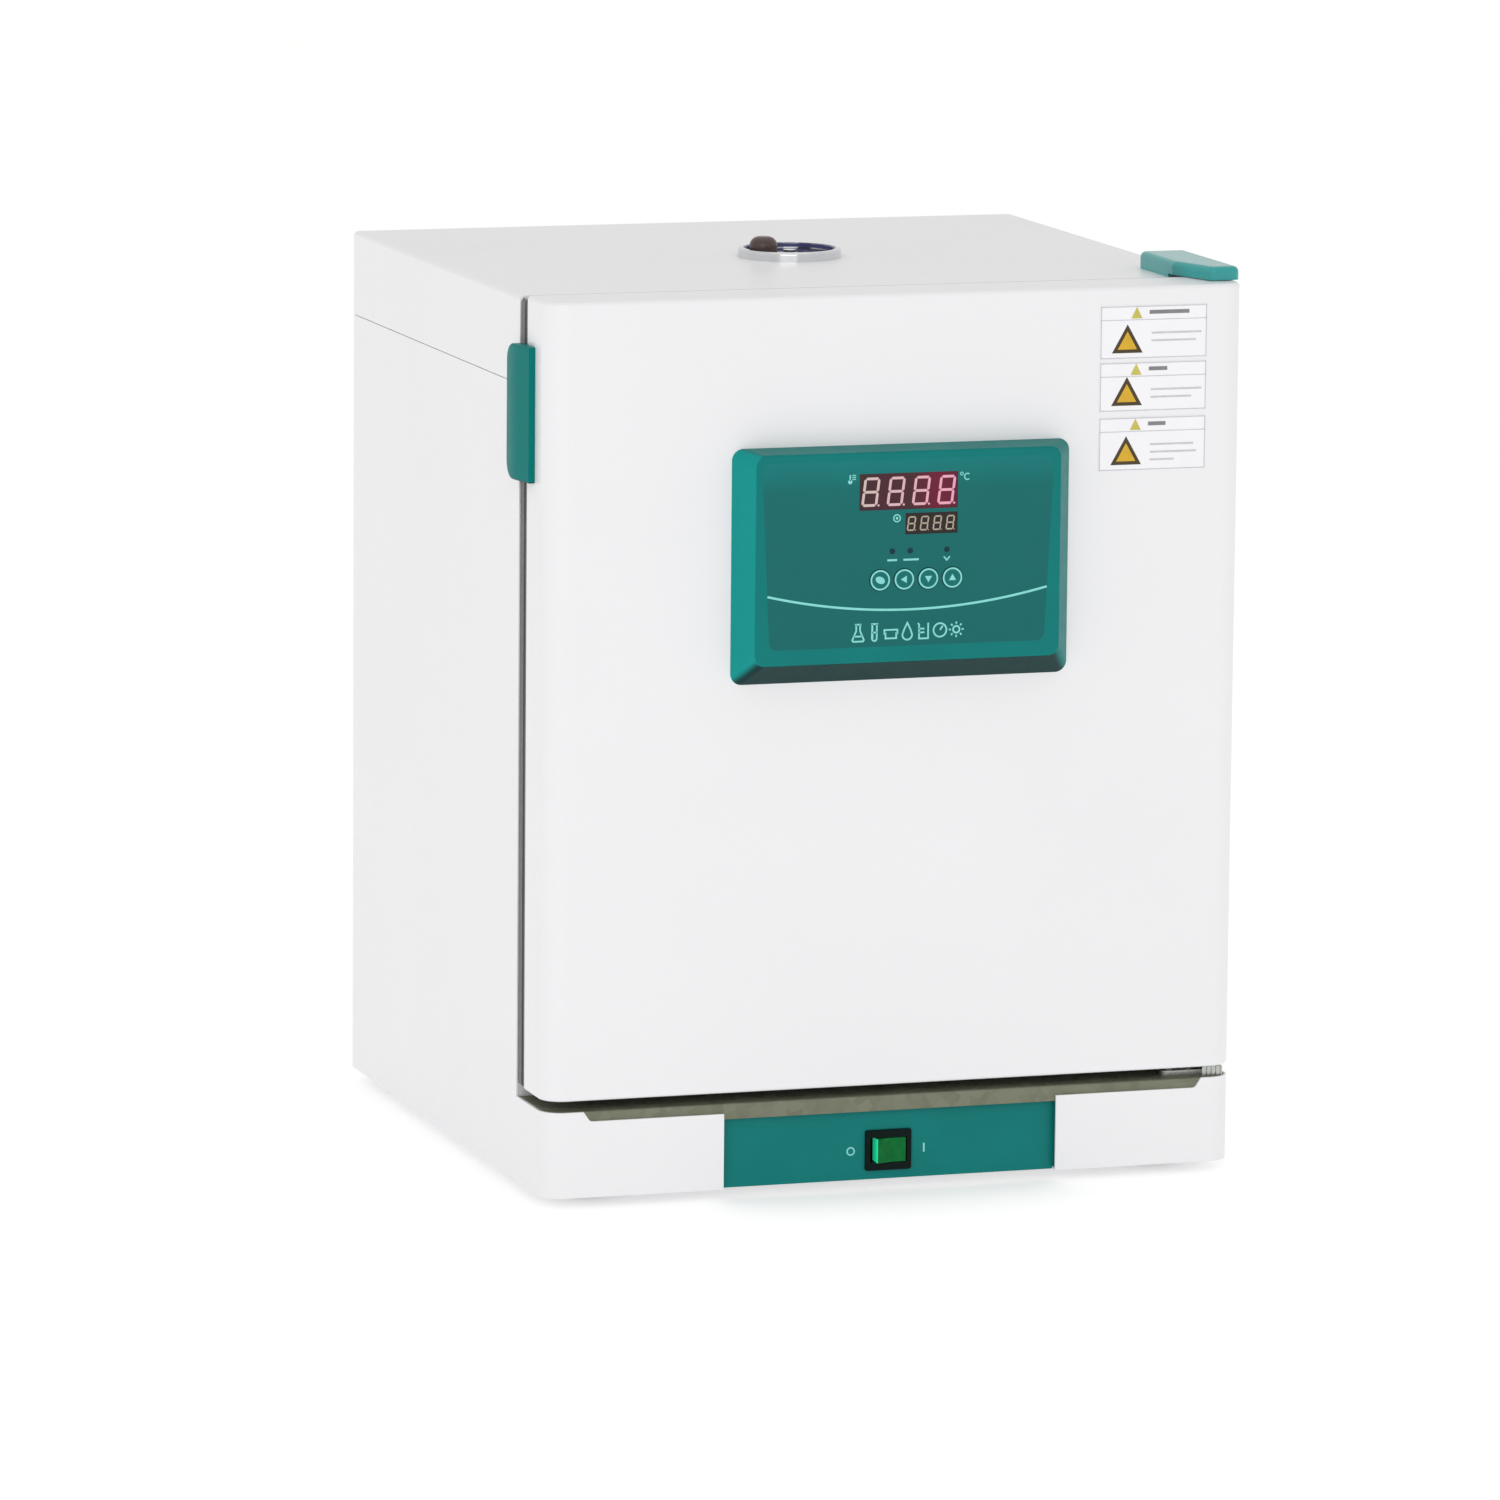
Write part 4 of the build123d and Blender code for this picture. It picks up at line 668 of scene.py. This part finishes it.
def flask_icon():
    left = [(-0.12, 1), (-0.12, 0.62), (-0.36, 0.08), (-0.3, 0)]
    body = left + [(-x, z) for x, z in reversed(left)]
    return [(body, False), ([(-0.2, 1), (0.2, 1)], False), ([(-0.25, 0.3), (0.25, 0.3)], False)]


def tube_icon():
    side = [(-0.14, 1), (-0.14, 0.14)] + arc(0, 0.14, 0.14, 180, 360, 8) + [(0.14, 1)]
    return [(side, False), ([(-0.22, 1), (0.22, 1)], False), ([(-0.14, 0.5), (0.14, 0.5)], False)]


def dish_icon():
    upper = [(-0.4, 0.34), (-0.4, 0.62), (0.4, 0.62), (0.4, 0.34)]
    lower = [(-0.33, 0.46), (-0.33, 0.12), (0.33, 0.12), (0.33, 0.46)]
    return [(upper, False), (lower, False)]


def drop_icon():
    left = [(0, 1), (-0.2, 0.6), (-0.3, 0.32)]
    curve = arc(0, 0.3, 0.3, 180, 360, 12)
    return [(left + curve + [(0.2, 0.6)], True)]


def beaker_icon():
    body = [(-0.36, 0.96), (-0.28, 0.86), (-0.28, 0.04), (0.28, 0.04), (0.28, 0.96)]
    return [(body, False), ([(-0.28, 0.4), (0.05, 0.4)], False), ([(-0.28, 0.62), (0.05, 0.62)], False)]


def gauge_icon():
    ring = arc(0, 0.5, 0.4, steps=24)
    return [(ring, True), ([(0, 0.5), (0.17, 0.74)], False)]


def sun_icon():
    shapes = [(arc(0, 0.5, 0.2, steps=16), True)]
    for turn in range(8):
        angle = math.radians(turn * 45)
        ray = [(r * math.cos(angle), 0.5 + r * math.sin(angle)) for r in (0.33, 0.46)]
        shapes.append((ray, False))
    return shapes


# ---- Labels ------------------------------------------------------------------------------------
LABEL_SPANS = ((423.3, 450.3), (396.5, 421.5), (366.3, 393.4))
LABEL_TITLES = (21.5, 10.0, 9.5)
LABEL_LINES = ((27.0, 24.0), (27.5, 22.0), (23.5, 25.0, 13.0))


def label_prints(materials):
    """Plain borders, rules, signs without a symbol and bars in place of text."""
    low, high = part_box("door_labels")
    y = low.y / MM
    left = low.x / MM
    right = high.x / MM
    rules = []
    titles = []
    lines = []
    large = []
    large_inner = []
    small = []
    for (bottom, top), title, widths in zip(LABEL_SPANS, LABEL_TITLES, LABEL_LINES):
        edge = 0.45
        border = [(left + edge, bottom + edge), (right - edge, bottom + edge),
                  (right - edge, top - edge), (left + edge, top - edge)]
        rules += stroke(border, 0.55, closed=True)
        header = top - 7.2
        rules += stroke([(left + edge, header), (right - edge, header)], 0.45)
        small.append(triangle(left + 19.5, header + 0.7, 6.0, 5.9))
        titles.append(oblong(left + 26.3, left + 26.3 + title, header + 2.8, header + 4.8))
        base = bottom + 3.0
        large.append(triangle(left + 14.6, base, 16.6, 14.6))
        large_inner.append(triangle(left + 14.6, base + 1.8, 10.4, 9.2))
        for row, width in enumerate(widths):
            level = header - 6.4 - row * 3.9
            lines.append(oblong(left + 27.5, left + 27.5 + width, level - 0.9, level + 0.1))
    printed("label_rules", rules, y, 0.03, materials["print_grey"], "door")
    printed("label_titles", titles, y, 0.03, materials["print_dark"], "door")
    printed("label_lines", lines, y, 0.03, materials["print_grey"], "door")
    printed("label_signs", large, y, 0.03, materials["print_black"], "door")
    fill = materials["print_yellow"]
    printed("label_sign_fills", large_inner, y - 0.03, 0.02, fill, "door")
    printed("label_small_signs", small, y, 0.03, materials["print_straw"], "door")


# ---- Switch ------------------------------------------------------------------------------------
def switch_marks(materials):
    """A circle for off and a bar for on beside the switch."""
    low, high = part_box("switch_housing")
    panel_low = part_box("switch_panel")[0]
    middle = (low.z + high.z) / 2 / MM
    off = stroke(arc(low.x / MM - 7.6, middle, 1.9, steps=28), 0.75, closed=True)
    on = [oblong(high.x / MM + 6.6, high.x / MM + 7.5, middle - 2.3, middle + 2.3)]
    y = panel_low.y / MM
    printed("switch_marks", off + on, y, PRINT_T, materials["print_teal"], "cabinet")


# ---- Stage -------------------------------------------------------------------------------------
FLOOR_SIZE = 60.0
FLOOR_GLOW = 0.28  # keeps the ground white behind the object
SKY_STRENGTH = 0.80


def add_floor():
    surface = Surface("floor")
    cloud = surface.noise(0.6, 2)
    surface.colour(surface.ramp(cloud, ((0.3, srgb(243, 243, 243)), (0.7, srgb(247, 247, 247)))))
    surface.set(Roughness=0.9, Specular_IOR_Level=0.1)
    surface.set(Emission_Color=(1, 1, 1, 1), Emission_Strength=FLOOR_GLOW)
    mesh = bpy.data.meshes.new("floor")
    half = FLOOR_SIZE / 2
    corners = [(-half, -half, 0), (half, -half, 0), (half, half, 0), (-half, half, 0)]
    mesh.from_pydata(corners, [], [(0, 1, 2, 3)])
    floor = bpy.data.objects.new("floor", mesh)
    mesh.materials.append(surface.material)
    bpy.context.scene.collection.objects.link(floor)


def add_light(name, place, target, size, power, colour=(1, 1, 1)):
    data = bpy.data.lights.new(name, "AREA")
    data.shape = "RECTANGLE"
    data.size, data.size_y = size
    data.energy = power
    data.color = colour
    light = bpy.data.objects.new(name, data)
    light.location = place
    aim = Vector(target) - Vector(place)
    light.rotation_euler = aim.to_track_quat("-Z", "Y").to_euler()
    bpy.context.scene.collection.objects.link(light)


def add_lights():
    world = bpy.data.worlds.new("world")
    bpy.context.scene.world = world
    world.use_nodes = True
    background = world.node_tree.nodes["Background"]
    background.inputs["Color"].default_value = (1.0, 0.995, 0.99, 1)
    background.inputs["Strength"].default_value = SKY_STRENGTH
    add_light("front_softbox", (-1.2, -3.2, 1.6), (0, 0, 0.25), (2.4, 1.8), 16)
    add_light("left_softbox", (-3.0, -0.6, 1.3), (0, 0, 0.25), (1.6, 1.6), 0.5)
    add_light("top_softbox", (0.2, 0.4, 2.6), (0, 0, 0.3), (1.6, 1.6), 3)
    bpy.context.scene.view_settings.view_transform = "Standard"


# ---- Assembly ------------------------------------------------------------------------------------
# Mouldings with a look of their own: a stronger painted highlight on the bezel's faces turned left, a
# duller gloss on the grip, and a lighter, glossier teal on the hinge cover.
OWN_LOOK = {"hinge_cover": "glossy_teal", "control_bezel": "bezel_teal", "door_grip": "grip_teal"}


def paint_frame(materials):
    """Each CAD node takes the material of its record slot, or a look of its own."""
    for name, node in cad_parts.items():
        for slot in node.material_slots:
            slot.material = materials[OWN_LOOK.get(name, slot.material.name.split(".")[0])]


add_camera()
MATERIALS = build_materials()
paint_frame(MATERIALS)
digits("main_display", MATERIALS["segment"], 14.8, 8.5, 13.4, 1.35, 0.9, "main_digits")
digits("set_display", MATERIALS["segment_small"], 7.4, 4.3, 6.85, 0.72, 0.7, "set_digits")
key_marks(MATERIALS)
film_graphics(MATERIALS)
label_prints(MATERIALS)
switch_marks(MATERIALS)
add_floor()
add_lights()
